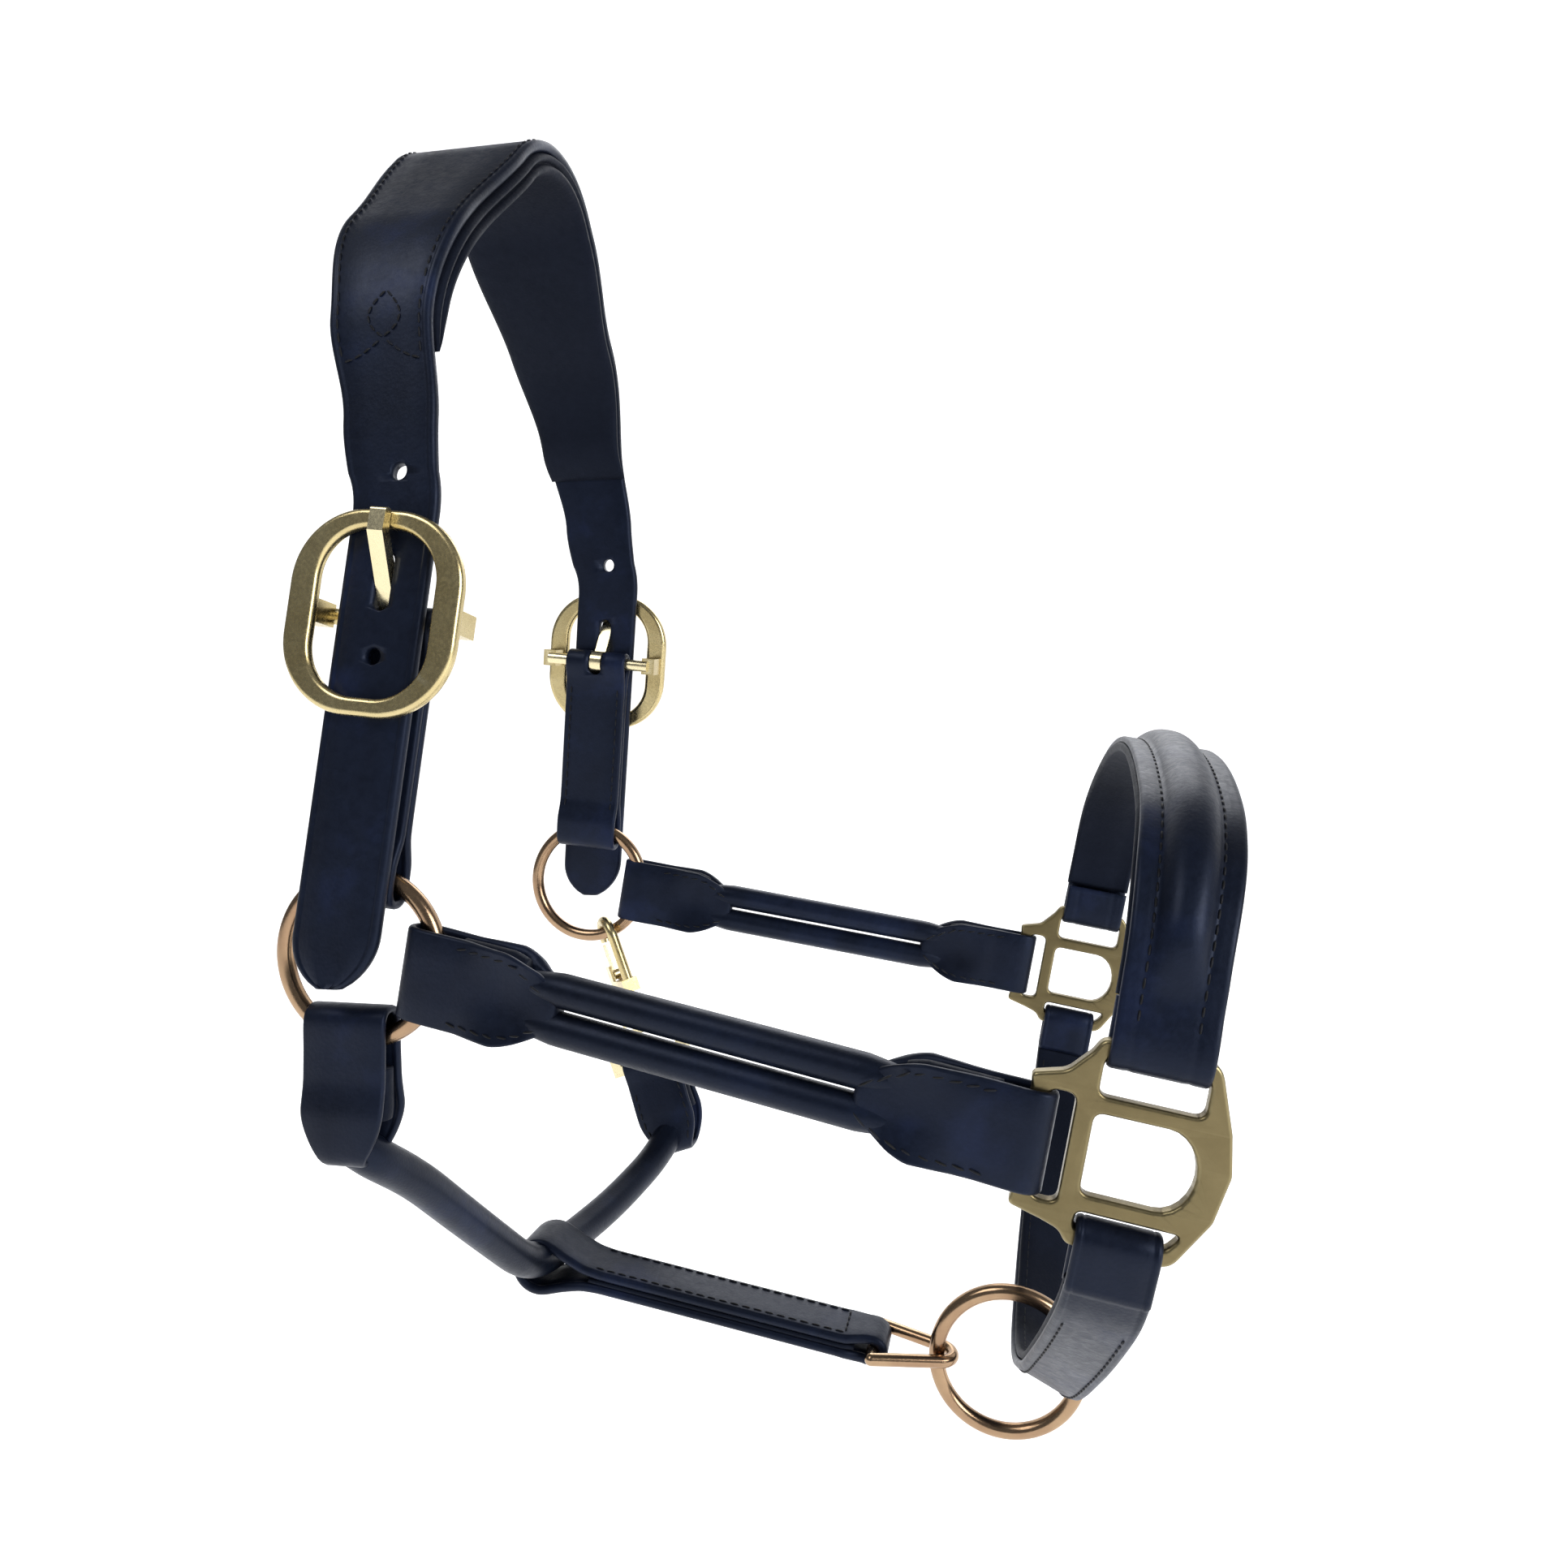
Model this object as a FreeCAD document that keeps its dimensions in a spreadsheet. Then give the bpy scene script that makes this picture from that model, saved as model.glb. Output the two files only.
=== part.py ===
import FreeCAD, Part
import math
import os
import Sketcher
from FreeCAD import Placement, Rotation, Vector

# A leather headcollar (halter) in the shape it keeps on a horse.
# +X points to the nose, +Y to the horse's left, +Z up; the origin is where the padded crown rests on the poll.
# Every strap is drawn at rest; the two cheek rings share one axis along Y, and the whole nose part turns on it.

SIZES = {
    # crown: the strap over the poll, its padding and its two free ends
    "ring_drop": 242, "ring_half": 85, "crown_strap_thick": 3.5, "poll_lining_thick": 2, "poll_padding_thick": 4.5,
    "billet_width": 25, "billet_gap": 0.4, "billet_tip": -8, "poll_width": 45, "lean_forward": 6.0,
    "lean_in": 6, "crown_slope": 45,
    "punch_hole": 4.6, "punch_pitch": 25,
    "shoulder_drop": 50, "shoulder_bend": 62, "lining_drop": 80,
    # cheek rings and the folds of leather round them
    "ring_outer": 50, "ring_wire": 4.8, "ring_play": 0.3, "fold_leather": 2.2, "fold_edge": 14,
    "strap_width": 25, "strap_stack": 5.2,
    # buckles
    "buckle_rise": 91, "buckle_width": 49.8, "buckle_height": 55, "buckle_window": 34, "buckle_light": 45,
    "buckle_thick": 3.6, "buckle_bar": 4.5, "buckle_bar_play": 0.35, "tongue_width": 4.5, "tongue_thick": 3.4,
    # cheekpieces
    "cheek_slope": 10, "cheek_reach": 179, "square_half": 104, "tab_thick": 7.8, "rear_tab_end": 52,
    "front_tab_start": 148, "front_tab_width": 24, "roll_thick": 9, "roll_gap": 0.8, "core_thick": 4,
    # cheek squares, flat castings
    "square_thick": 4, "square_bar": 4, "square_slot": 6, "square_stem": 4.4, "square_play": 0.5,
    "top_bar_rise": 24, "low_bar_drop": 19.2, "window_half": 9.3, "square_length": 43,
    # noseband
    "nose_rise": 68, "nose_shoulder": 43, "nose_slope": 20.3, "nose_bend": 49, "nose_width": 22.6, "nose_top_width": 27, "nose_cover_thick": 2.4, "nose_lining_thick": 2.6,
    "nose_pad_width": 13, "nose_pad_thick": 4.2,
    # chin strap and chin ring
    "chin_width": 19, "chin_layer": 2.6, "chin_wire": 5, "chin_ring_reach": 172, "chin_ring_drop": 139.2,
    "chin_seat_ahead": 10, "chin_seat_up": 2.7, "chin_tilt": 30,
    # throat lash, connector and link
    "throat_roll": 11.5, "throat_core_thick": 5.5, "throat_tab_width": 24, "throat_tab_offset": -3,
    "throat_tab_end": 56, "throat_reach": 17, "throat_drop": 119, "connector_width": 18.5, "connector_fold": 15.2,
    "connector_thick": 7.8, "connector_reach": 114, "connector_slope": 9, "connector_leather": 3.2,
    "roll_play": 0.8, "link_wire": 4, "link_half": 11.5, "link_tip": 5, "link_play": 0.6,
    # snap hook on the left cheek ring
    "clip_angle": 20, "hook_wire": 4.2, "hook_width": 10.5, "hook_turn": 35, "hook_foot": 43, "shank_thick": 4.5,
    "shank_play": 0.06, "eye_reach": 79, "eye_width": 26, "eye_wire": 4, "gate_length": 15.6, "pin_thick": 2,
    "left_tab_length": 32,
}

doc = FreeCAD.newDocument("headcollar")
sheet = doc.addObject("Spreadsheet::Sheet", "sizes")
for row, (alias, number) in enumerate(SIZES.items(), start=1):
    sheet.set(f"A{row}", alias)
    sheet.set(f"B{row}", str(number))
    sheet.setAlias(f"B{row}", alias)
doc.recompute()


class Size:
    """A length or an angle: its value, and the sheet expression that drives it."""

    def __init__(self, value, text):
        self.value = value
        self.text = text

    def __add__(self, other):
        other = size(other)
        return Size(self.value + other.value, f"({self.text} + {other.text})")

    def __sub__(self, other):
        other = size(other)
        return Size(self.value - other.value, f"({self.text} - {other.text})")

    def __mul__(self, other):
        other = size(other)
        return Size(self.value * other.value, f"({self.text} * {other.text})")

    def __truediv__(self, other):
        other = size(other)
        return Size(self.value / other.value, f"({self.text} / {other.text})")

    def __neg__(self):
        return Size(-self.value, f"(0 - {self.text})")


def size(number):
    """A Size stays as it is, and a plain number becomes one."""
    return number if isinstance(number, Size) else Size(float(number), repr(float(number)))


class Sizes:
    """The sheet's cells by name."""

    def __getattr__(self, alias):
        return Size(float(sheet.get(alias)), f"sizes.{alias}")


S = Sizes()
SIDES = {"right": -1, "left": 1}
THROUGH = 400.0  # longer than the whole object, for cutting right through it
nodes = []


def turn(axis, degrees):
    """A rotation about one of the row's axes."""
    return Rotation(axis, degrees)


X, Y, Z = Vector(1, 0, 0), Vector(0, 1, 0), Vector(0, 0, 1)


def keep(feature, label):
    """Names a finished sub-part."""
    feature.Label = label
    nodes.append(feature)
    return feature


def solid_feature(label, shape):
    """A sub-part whose shape no sketch or primitive gives."""
    return keep(helper(label, shape), label)


def helper(name, shape):
    feature = doc.addObject("Part::Feature", name)
    feature.Shape = shape
    return feature


def primitive(kind, name, placement, **sizes):
    """A Part primitive whose sizes follow the sheet."""
    feature = doc.addObject(f"Part::{kind}", name)
    for prop, amount in sizes.items():
        amount = size(amount)
        setattr(feature, prop, amount.value)
        feature.setExpression(prop, amount.text)
    feature.Placement = placement
    return feature


def cut(name, base, tool):
    feature = doc.addObject("Part::Cut", name)
    feature.Base = base
    feature.Tool = tool
    return feature


def fuse(name, shapes):
    feature = doc.addObject("Part::MultiFuse", name)
    feature.Shapes = shapes
    return feature


def new_body(name, placement):
    body = doc.addObject("PartDesign::Body", name)
    body.Placement = placement
    return body


def new_sketch(body, plane):
    """An empty sketch on one of the body's own planes: XY_Plane, XZ_Plane or YZ_Plane."""
    sketch = body.newObject("Sketcher::SketchObject", f"{body.Name}_sketch")
    sketch.AttachmentSupport = [(next(f for f in body.Origin.OriginFeatures if f.Role == plane), "")]
    sketch.MapMode = "FlatFace"
    return sketch


def pin_point(sketch, geo, position, point):
    """Holds one end of a line, or a centre, at a place driven by the sheet."""
    for kind, amount in zip(("DistanceX", "DistanceY"), point):
        amount = size(amount)
        index = sketch.addConstraint(Sketcher.Constraint(kind, -1, 1, geo, position, amount.value))
        sketch.setExpression(f"Constraints[{index}]", amount.text)


def polygon(sketch, corners):
    """A closed outline of straight edges, each corner driven by the sheet."""
    spots = [Vector(size(a).value, size(b).value, 0) for a, b in corners]
    first = sketch.GeometryCount
    for here, there in zip(spots, spots[1:] + spots[:1]):
        sketch.addGeometry(Part.LineSegment(here, there), False)
    for step, corner in enumerate(corners):
        pin_point(sketch, first + step, 1, corner)
        following = first + (step + 1) % len(corners)
        sketch.addConstraint(Sketcher.Constraint("Coincident", first + step, 2, following, 1))


def circle(sketch, centre, radius):
    radius = size(radius)
    spot = Vector(size(centre[0]).value, size(centre[1]).value, 0)
    geo = sketch.addGeometry(Part.Circle(spot, Z, radius.value), False)
    pin_point(sketch, geo, 3, centre)
    index = sketch.addConstraint(Sketcher.Constraint("Radius", geo, radius.value))
    sketch.setExpression(f"Constraints[{index}]", radius.text)


def pad(body, plane, draw, length):
    """Pads an outline equally to both sides of its plane."""
    sketch = new_sketch(body, plane)
    draw(sketch)
    feature = body.newObject("PartDesign::Pad", f"{body.Name}_pad")
    feature.Profile = sketch
    feature.Midplane = True
    length = size(length)
    feature.Length = length.value
    feature.setExpression("Length", length.text)
    doc.recompute()
    return feature


def pocket(body, plane, draw):
    """Cuts an outline right through the body, to both sides of its plane."""
    sketch = new_sketch(body, plane)
    draw(sketch)
    feature = body.newObject("PartDesign::Pocket", f"{body.Name}_pocket")
    feature.Profile = sketch
    feature.Midplane = True
    feature.Length = THROUGH
    doc.recompute()
    return feature


def round_edges(body, radius, chosen):
    """Rounds the edges of the body's last feature that the test picks, by their middle points."""
    last = body.Tip
    names = [f"Edge{n}" for n, edge in enumerate(last.Shape.Edges, start=1) if chosen(edge)]
    feature = body.newObject("PartDesign::Fillet", f"{body.Name}_round")
    feature.Base = (last, names)
    radius = size(radius)
    feature.Radius = radius.value
    feature.setExpression("Radius", radius.text)
    doc.recompute()
    return feature


def straight_along(edge, axis):
    """True for a straight edge that runs along the axis."""
    if edge.Curve.TypeId != "Part::GeomLine":
        return False
    direction = edge.Vertexes[-1].Point - edge.Vertexes[0].Point
    return direction.cross(axis).Length < 1e-6


def middle(edge):
    return edge.valueAt((edge.FirstParameter + edge.LastParameter) / 2)


# ---------------------------------------------------------------- places

RING_RADIUS = (S.ring_outer - S.ring_wire) / 2
FOLD_HALF = S.ring_wire / 2 + S.ring_play + S.fold_leather


def ring_centre(side):
    return Vector(0, side * S.ring_half.value, -S.ring_drop.value)


NOSE_PLANE = Placement(Vector(0, 0, -S.ring_drop.value), turn(Y, S.cheek_slope.value))
"""The nose part's own frame: X down the cheek, Y across, Z square to the cheek, at the rings' axis."""

FLARE = math.degrees(math.atan2(S.square_half.value - S.ring_half.value, S.cheek_reach.value))
CHEEK_LENGTH = math.hypot(S.square_half.value - S.ring_half.value, S.cheek_reach.value)


def cheek_frame(side):
    """Along one cheekpiece, from its ring's centre to the middle of the square's rear bar."""
    return Placement(ring_centre(side), turn(Y, S.cheek_slope.value).multiply(turn(Z, side * FLARE)))


def leg_frame(side):
    """Up one leg of the crown: X to the front, Y across, Z up the leg, which leans about the ring's top."""
    lean = turn(X, side * S.lean_in.value).multiply(turn(Y, S.lean_forward.value))
    rise = Vector(0, 0, RING_RADIUS.value)
    return Placement(ring_centre(side) + rise - lean.multVec(rise), lean)


def square_frame(side):
    """At the middle of one cheek square's rear bar."""
    place = NOSE_PLANE.multVec(Vector(S.cheek_reach.value, side * S.square_half.value, 0))
    return Placement(place, NOSE_PLANE.Rotation)


LIE_FLAT = turn(X, -90)  # turns a ring's own axis from Z to Y


def ring_tool(side):
    """The room a cheek ring needs in the leather folded round it."""
    return primitive("Torus", f"{side}_ring_room", Placement(ring_centre(SIDES[side]), LIE_FLAT),
                     Radius1=RING_RADIUS, Radius2=S.ring_wire / 2 + S.ring_play)


# ---------------------------------------------------------------- curved bands

def interpolated(points):
    curve = Part.BSplineCurve()
    curve.interpolate([Vector(*p) for p in points])
    return curve


class Arch:
    """The middle line of a band: straight legs, a bend at each shoulder, and a rounded top between two slopes.

    foot and shoulder are the right leg's ends and the left side mirrors them; top is the height of the crest.
    """

    def __init__(self, foot, shoulder, slope, top, bend):
        self.foot, self.shoulder, self.bend, self.top = foot, shoulder, bend, top
        rise = math.radians(slope)
        self.leg_run = (shoulder - foot).normalize()
        self.slope_run = Vector(0, math.cos(rise), math.sin(rise))
        self.shoulder_cut = bend * math.tan(self.leg_run.getAngle(self.slope_run) / 2)
        self.apex = Vector(0, 0, shoulder.z - shoulder.y * math.tan(rise))
        self.top_cut = (self.apex.z - top) / (1 / math.cos(rise) - 1) * math.tan(rise)

    def edges(self, offset):
        """The line moved outwards by an offset."""
        leg_out = Vector(0, -self.leg_run.z, self.leg_run.y)
        slope_out = Vector(0, -self.slope_run.z, self.slope_run.y)
        foot = self.foot + leg_out * offset
        start = self.shoulder - self.leg_run * self.shoulder_cut + leg_out * offset
        end = self.shoulder + self.slope_run * self.shoulder_cut + slope_out * offset
        centre = start - leg_out * (self.bend + offset)
        round_of = centre + (leg_out + slope_out).normalize() * (self.bend + offset)
        crest_start = self.apex - self.slope_run * self.top_cut + slope_out * offset
        over = lambda v: Vector(v.x, -v.y, v.z)
        crest = Vector(0, 0, self.top + offset)
        return [edge.toShape() for edge in (
            Part.LineSegment(foot, start), Part.Arc(start, round_of, end), Part.LineSegment(end, crest_start),
            Part.Arc(crest_start, crest, over(crest_start)), Part.LineSegment(over(crest_start), over(end)),
            Part.Arc(over(end), over(round_of), over(start)), Part.LineSegment(over(start), over(foot)))]

    def band(self, low, high):
        """The band between two offsets of the line, far wider than needed, to be trimmed by a side outline."""
        inner, outer = self.edges(low), self.edges(high)
        ends = [Part.LineSegment(a.Vertexes[n].Point, b.Vertexes[n].Point).toShape()
                for a, b, n in ((inner[0], outer[0], 0), (inner[-1], outer[-1], 1))]
        face = Part.Face(Part.Wire(Part.__sortEdges__(inner + outer + ends)))
        face.translate(Vector(-THROUGH / 2, 0, 0))
        return face.extrude(Vector(THROUGH, 0, 0))


def side_outline(rear, front, bottom=None):
    """A prism right across the object, from the side outline of a band given by its rear and front edges."""
    rear_edge = interpolated([(x, 0, z) for x, z in rear]).toShape()
    front_edge = interpolated([(x, 0, z) for x, z in front]).toShape()
    top = Part.LineSegment(Vector(rear[-1][0], 0, rear[-1][1]), Vector(front[-1][0], 0, front[-1][1])).toShape()
    if bottom:
        low = Part.Arc(*[Vector(x, 0, z) for x, z in (rear[0], bottom, front[0])]).toShape()
    else:
        low = Part.LineSegment(Vector(rear[0][0], 0, rear[0][1]), Vector(front[0][0], 0, front[0][1])).toShape()
    face = Part.Face(Part.Wire(Part.__sortEdges__([rear_edge, top, front_edge, low])))
    face.translate(Vector(0, -THROUGH / 2, 0))
    return face.extrude(Vector(0, THROUGH, 0))


# ---------------------------------------------------------------- crown

BILLET_LINE = (S.buckle_bar / 2 + S.buckle_bar_play + S.fold_leather + S.billet_gap
               + S.crown_strap_thick / 2)
POLL_LINE = S.poll_lining_thick + S.poll_padding_thick + S.crown_strap_thick / 2


def crown_arch():
    """The crown strap's line: up each billet, over the shoulders and over the poll."""
    frame = leg_frame(-1)
    up = frame.Rotation.multVec(Z)
    low = frame.multVec(Vector(0, -BILLET_LINE.value, S.billet_tip.value))
    foot = Vector(0, low.y, low.z)
    shoulder_z = -S.shoulder_drop.value
    shoulder = Vector(0, foot.y + up.y / up.z * (shoulder_z - foot.z), shoulder_z)
    return Arch(foot, shoulder, S.crown_slope.value, POLL_LINE.value, S.shoulder_bend.value)


def crown_edges(inset):
    """The crown's rear and front edges from the billet tip's shoulder up to the poll."""
    half = S.billet_width.value / 2 - inset
    foot = S.billet_tip.value + 14 - S.ring_drop.value
    leg_top = S.buckle_rise.value + 27 - S.ring_drop.value
    lean = math.tan(math.radians(S.lean_forward.value))
    centre = lambda height: (height + S.ring_drop.value - RING_RADIUS.value) * lean
    legs = [foot + (leg_top - foot) * share for share in (0, 0.25, 0.5, 0.75, 1)]
    rear = [(centre(height) - half, height) for height in legs]
    front = [(centre(height) + half, height) for height in legs]
    poll = S.poll_width.value / 2
    rise = POLL_LINE.value - leg_top
    for share, back, fore in ((0.42, 0.55, 0.79), (0.69, 0.76, 0.93), (0.90, 0.92, 1.09), (1.03, 1.02, 1.14)):
        rear.append((inset - poll * back, leg_top + rise * share))
        front.append((poll * fore - inset, leg_top + rise * share))
    return rear, front


def crown_pieces():
    """The crown strap with its billets, the padding under it and the lining that closes the padding in."""
    arch = crown_arch()
    strap_half = S.crown_strap_thick.value / 2
    frame = leg_frame(-1)
    rear, front = crown_edges(0)
    tip = (frame.multVec(Vector(0, 0, S.billet_tip.value)).x, arch.foot.z)
    strap = arch.band(-strap_half, strap_half).common(side_outline(rear, front, tip))
    for side in SIDES.values():
        frame = leg_frame(side)
        strap = strap.cut(tongue_slot(frame, side))
        for step in (1, -1):
            strap = strap.cut(punched_hole(frame, side, step))
    solid_feature("crown_strap", strap.removeSplitter())

    pad_low = -strap_half - S.poll_padding_thick.value
    lining_foot = -S.lining_drop.value
    above = Part.makeBox(THROUGH, THROUGH, THROUGH, Vector(-THROUGH / 2, -THROUGH / 2, lining_foot + 6))
    rear, front = crown_edges(3)
    padding = arch.band(pad_low, -strap_half).common(side_outline(rear, front)).common(above)
    solid_feature("poll_padding", padding.removeSplitter())
    above.translate(Vector(0, 0, -6))
    rear, front = crown_edges(0)
    lining = arch.band(pad_low - S.poll_lining_thick.value, pad_low)
    solid_feature("poll_lining", lining.common(side_outline(rear, front)).common(above).removeSplitter())


def punched_hole(frame, side, step):
    """One punched hole of the billet, a pitch above or below the one in use."""
    height = S.buckle_rise.value + 14 + step * S.punch_pitch.value
    hole = Part.makeCylinder(S.punch_hole.value / 2, 40, Vector(0, side * -10, height), Vector(0, side, 0))
    hole.Placement = frame.multiply(hole.Placement)
    return hole


def tongue_slot(frame, side):
    """The hole in use, drawn out where the tongue leans through it."""
    width = S.tongue_width.value + 1.0
    slot = Part.makeBox(width, 40, 16.5, Vector(-width / 2, -20 + side * 20, S.buckle_rise.value + 0.6))
    slot.Placement = frame
    return slot


# ---------------------------------------------------------------- chapes, buckles and rings

def chape(side):
    """The doubled strap from the buckle's bar down to the cheek ring, slotted for the tongue."""
    body = new_body(f"{side}_chape_leather", leg_frame(SIDES[side]))
    thin = S.strap_stack / 2
    bar_half = S.buckle_bar / 2 + S.buckle_bar_play + S.fold_leather
    top = S.buckle_rise + bar_half

    def outline(sketch):
        polygon(sketch, [(-FOLD_HALF, S.fold_edge), (FOLD_HALF, S.fold_edge), (FOLD_HALF, S.fold_edge + 13.5),
                         (thin, S.fold_edge + 19), (thin, S.buckle_rise - 10), (bar_half, S.buckle_rise - 4),
                         (bar_half, top), (-bar_half, top), (-bar_half, S.buckle_rise - 4),
                         (-thin, S.buckle_rise - 10), (-thin, S.fold_edge + 19), (-FOLD_HALF, S.fold_edge + 13.5)])

    pad(body, "YZ_Plane", outline, S.strap_width)
    ends = (S.fold_edge.value, top.value)
    round_edges(body, 4.2, lambda e: straight_along(e, X) and any(abs(middle(e).z - end) < 0.01 for end in ends))
    pocket(body, "YZ_Plane", lambda s: circle(s, (0, S.buckle_rise), S.buckle_bar / 2 + S.buckle_bar_play))
    slot = S.tongue_width / 2 + 0.6
    pocket(body, "XZ_Plane", lambda s: polygon(s, [(-slot, S.buckle_rise - 5), (slot, S.buckle_rise - 5),
                                                   (slot, top + 1), (-slot, top + 1)]))
    keep(cut(f"{side}_chape", body, rooms[side]), f"{side}_chape")


def buckle_place(side):
    frame = leg_frame(SIDES[side])
    return Placement(frame.multVec(Vector(0, 0, S.buckle_rise.value)), frame.Rotation)


BUCKLE_FACE = BILLET_LINE + S.crown_strap_thick / 2 + S.billet_gap


def rounded_window(sketch, width, height, radius):
    """A rectangle with round corners, centred on the sketch."""
    half, rise, bend = size(width) / 2, size(height) / 2, size(radius)
    inner, outer = half.value - bend.value, rise.value - bend.value
    lines, arcs = [], []
    corner = ((1, 1), (-1, 1), (-1, -1), (1, -1))
    spot = lambda a, b: Vector(a, b, 0)
    lines.append(sketch.addGeometry(Part.LineSegment(spot(inner, rise.value), spot(-inner, rise.value)), False))
    lines.append(sketch.addGeometry(Part.LineSegment(spot(-half.value, outer), spot(-half.value, -outer)), False))
    lines.append(sketch.addGeometry(Part.LineSegment(spot(-inner, -rise.value), spot(inner, -rise.value)), False))
    lines.append(sketch.addGeometry(Part.LineSegment(spot(half.value, -outer), spot(half.value, outer)), False))
    for n, (a, b) in enumerate(corner):
        round_corner = Part.Circle(spot(a * inner, b * outer), Z, bend.value)
        start = math.radians(90 * n)
        arcs.append(sketch.addGeometry(Part.ArcOfCircle(round_corner, start, start + math.pi / 2), False))
    rule = lambda *terms: sketch.addConstraint(Sketcher.Constraint(*terms))
    for n in range(4):
        rule("Tangent", arcs[n], 1, lines[(n + 3) % 4], 2)
        rule("Tangent", arcs[n], 2, lines[n], 1)
        rule("Horizontal" if n % 2 == 0 else "Vertical", lines[n])
    for n in range(1, 4):
        rule("Equal", arcs[0], arcs[n])
    sketch.setExpression(f"Constraints[{rule('Radius', arcs[0], bend.value)}]", bend.text)
    rule("Symmetric", arcs[0], 3, arcs[2], 3, -1, 1)
    sketch.setExpression(f"Constraints[{rule('DistanceX', -1, 1, lines[3], 1, half.value)}]", half.text)
    sketch.setExpression(f"Constraints[{rule('DistanceY', -1, 1, lines[0], 1, rise.value)}]", rise.text)


def buckle_frame(side):
    """An oval cast frame that stands outside the billet, with two posts down to the bar inside it."""
    sign = SIDES[side]
    place = buckle_place(side)
    middle_out = BUCKLE_FACE + S.buckle_thick / 2
    body = new_body(f"{side}_buckle_oval", Placement(place.multVec(Vector(0, sign * middle_out.value, 0)),
                                                     place.Rotation))
    pad(body, "XZ_Plane", lambda s: rounded_window(s, S.buckle_width, S.buckle_height, 20.5), S.buckle_thick)
    pocket(body, "XZ_Plane", lambda s: rounded_window(s, S.buckle_window, S.buckle_light, 14))
    round_edges(body, 1.5, lambda e: abs(abs(middle(e).y) - S.buckle_thick.value / 2) < 0.01)
    post_centre = (S.buckle_width + S.buckle_window) / 4
    pieces = [body]
    for end, ahead in (("front", 1), ("rear", -1)):
        low, high = sorted((0, sign * middle_out.value))
        corner = Vector(ahead * post_centre.value - 2.6, low, -3.2)
        post = primitive("Box", f"{side}_buckle_{end}_post", Placement(place.multVec(corner), place.Rotation),
                         Length=5.2, Width=middle_out, Height=6.4)
        pieces.append(post)
    start = place.multVec(Vector(-post_centre.value, 0, 0))
    pieces.append(primitive("Cylinder", f"{side}_buckle_bar", Placement(start, place.Rotation.multiply(turn(Y, 90))),
                            Radius=S.buckle_bar / 2, Height=post_centre * 2))
    keep(fuse(f"{side}_buckle_frame", pieces), f"{side}_buckle_frame")


def buckle_tongue(side):
    """The tongue: an eye round the bar, a shank through the billet's hole and a tip that rests on the rim."""
    sign = SIDES[side]
    body = new_body(f"{side}_tongue", buckle_place(side))
    hub = S.buckle_bar / 2 + 2.1
    rest = BUCKLE_FACE + S.buckle_thick + 0.15
    reach = S.buckle_height / 2
    thick = S.tongue_thick

    def outline(sketch):
        polygon(sketch, [(a * sign, b) for a, b in (
            (size(1.4), 3.9), (size(4.2), 0.6), (rest + thick * 0.9, reach - 6.6), (rest + thick * 0.8, reach - 0.2),
            (rest, reach), (rest, reach - 5.6))])

    pad(body, "YZ_Plane", outline, S.tongue_width)
    round_edges(body, 0.9, lambda e: straight_along(e, X) and middle(e).z > reach.value - 1)
    start = buckle_place(side).multVec(Vector(-S.tongue_width.value / 2, 0, 0))
    along = Placement(start, buckle_place(side).Rotation.multiply(turn(Y, 90)))
    eye = primitive("Cylinder", f"{side}_tongue_eye", along, Radius=hub, Height=S.tongue_width)
    bore = primitive("Cylinder", f"{side}_tongue_bore", along, Radius=S.buckle_bar / 2 + 0.06,
                     Height=S.tongue_width)
    whole = fuse(f"{side}_tongue_whole", [body, eye])
    keep(cut(f"{side}_buckle_tongue", whole, bore), f"{side}_buckle_tongue")


def cheek_ring(side):
    keep(primitive("Torus", f"{side}_cheek_ring", Placement(ring_centre(SIDES[side]), LIE_FLAT),
                   Radius1=RING_RADIUS, Radius2=S.ring_wire / 2), f"{side}_cheek_ring")


# ---------------------------------------------------------------- cheekpieces

def rear_tab(side):
    """The end of the cheekpiece folded round the ring and sewn down over the roots of the rolls."""
    body = new_body(f"{side}_rear_fold", cheek_frame(SIDES[side]))
    thin = S.tab_thick / 2

    def outline(sketch):
        polygon(sketch, [(S.fold_edge, -FOLD_HALF), (S.fold_edge + 13, -FOLD_HALF), (S.fold_edge + 21, -thin),
                         (S.rear_tab_end, -thin), (S.rear_tab_end, thin), (S.fold_edge + 21, thin),
                         (S.fold_edge + 13, FOLD_HALF), (S.fold_edge, FOLD_HALF)])

    pad(body, "XY_Plane", outline, S.strap_width)
    round_edges(body, 4.2, lambda e: straight_along(e, Z) and abs(middle(e).x - S.fold_edge.value) < 0.01)
    keep(cut(f"{side}_cheek_rear_tab", body, rooms[side]), f"{side}_cheek_rear_tab")


def front_tab(side):
    """The other end of the cheekpiece, folded round the square's rear bar."""
    body = new_body(f"{side}_cheek_front_tab", cheek_frame(SIDES[side]))
    thin = S.tab_thick / 2
    room = S.square_bar / 2 + S.square_play
    half = room + S.fold_leather
    bar = Size(CHEEK_LENGTH, repr(CHEEK_LENGTH))

    def outline(sketch):
        polygon(sketch, [(S.front_tab_start, -thin), (bar - 11, -thin), (bar - 5, -half), (bar + half, -half),
                         (bar + half, half), (bar - 5, half), (bar - 11, thin), (S.front_tab_start, thin)])

    pad(body, "XY_Plane", outline, S.front_tab_width)
    round_edges(body, 3.6, lambda e: straight_along(e, Z) and abs(middle(e).x - (bar + half).value) < 0.01)
    pocket(body, "XY_Plane", lambda s: polygon(s, [(bar - room, -room), (bar + room, -room), (bar + room, room),
                                                   (bar - room, room)]))
    keep(body, f"{side}_cheek_front_tab")


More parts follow.
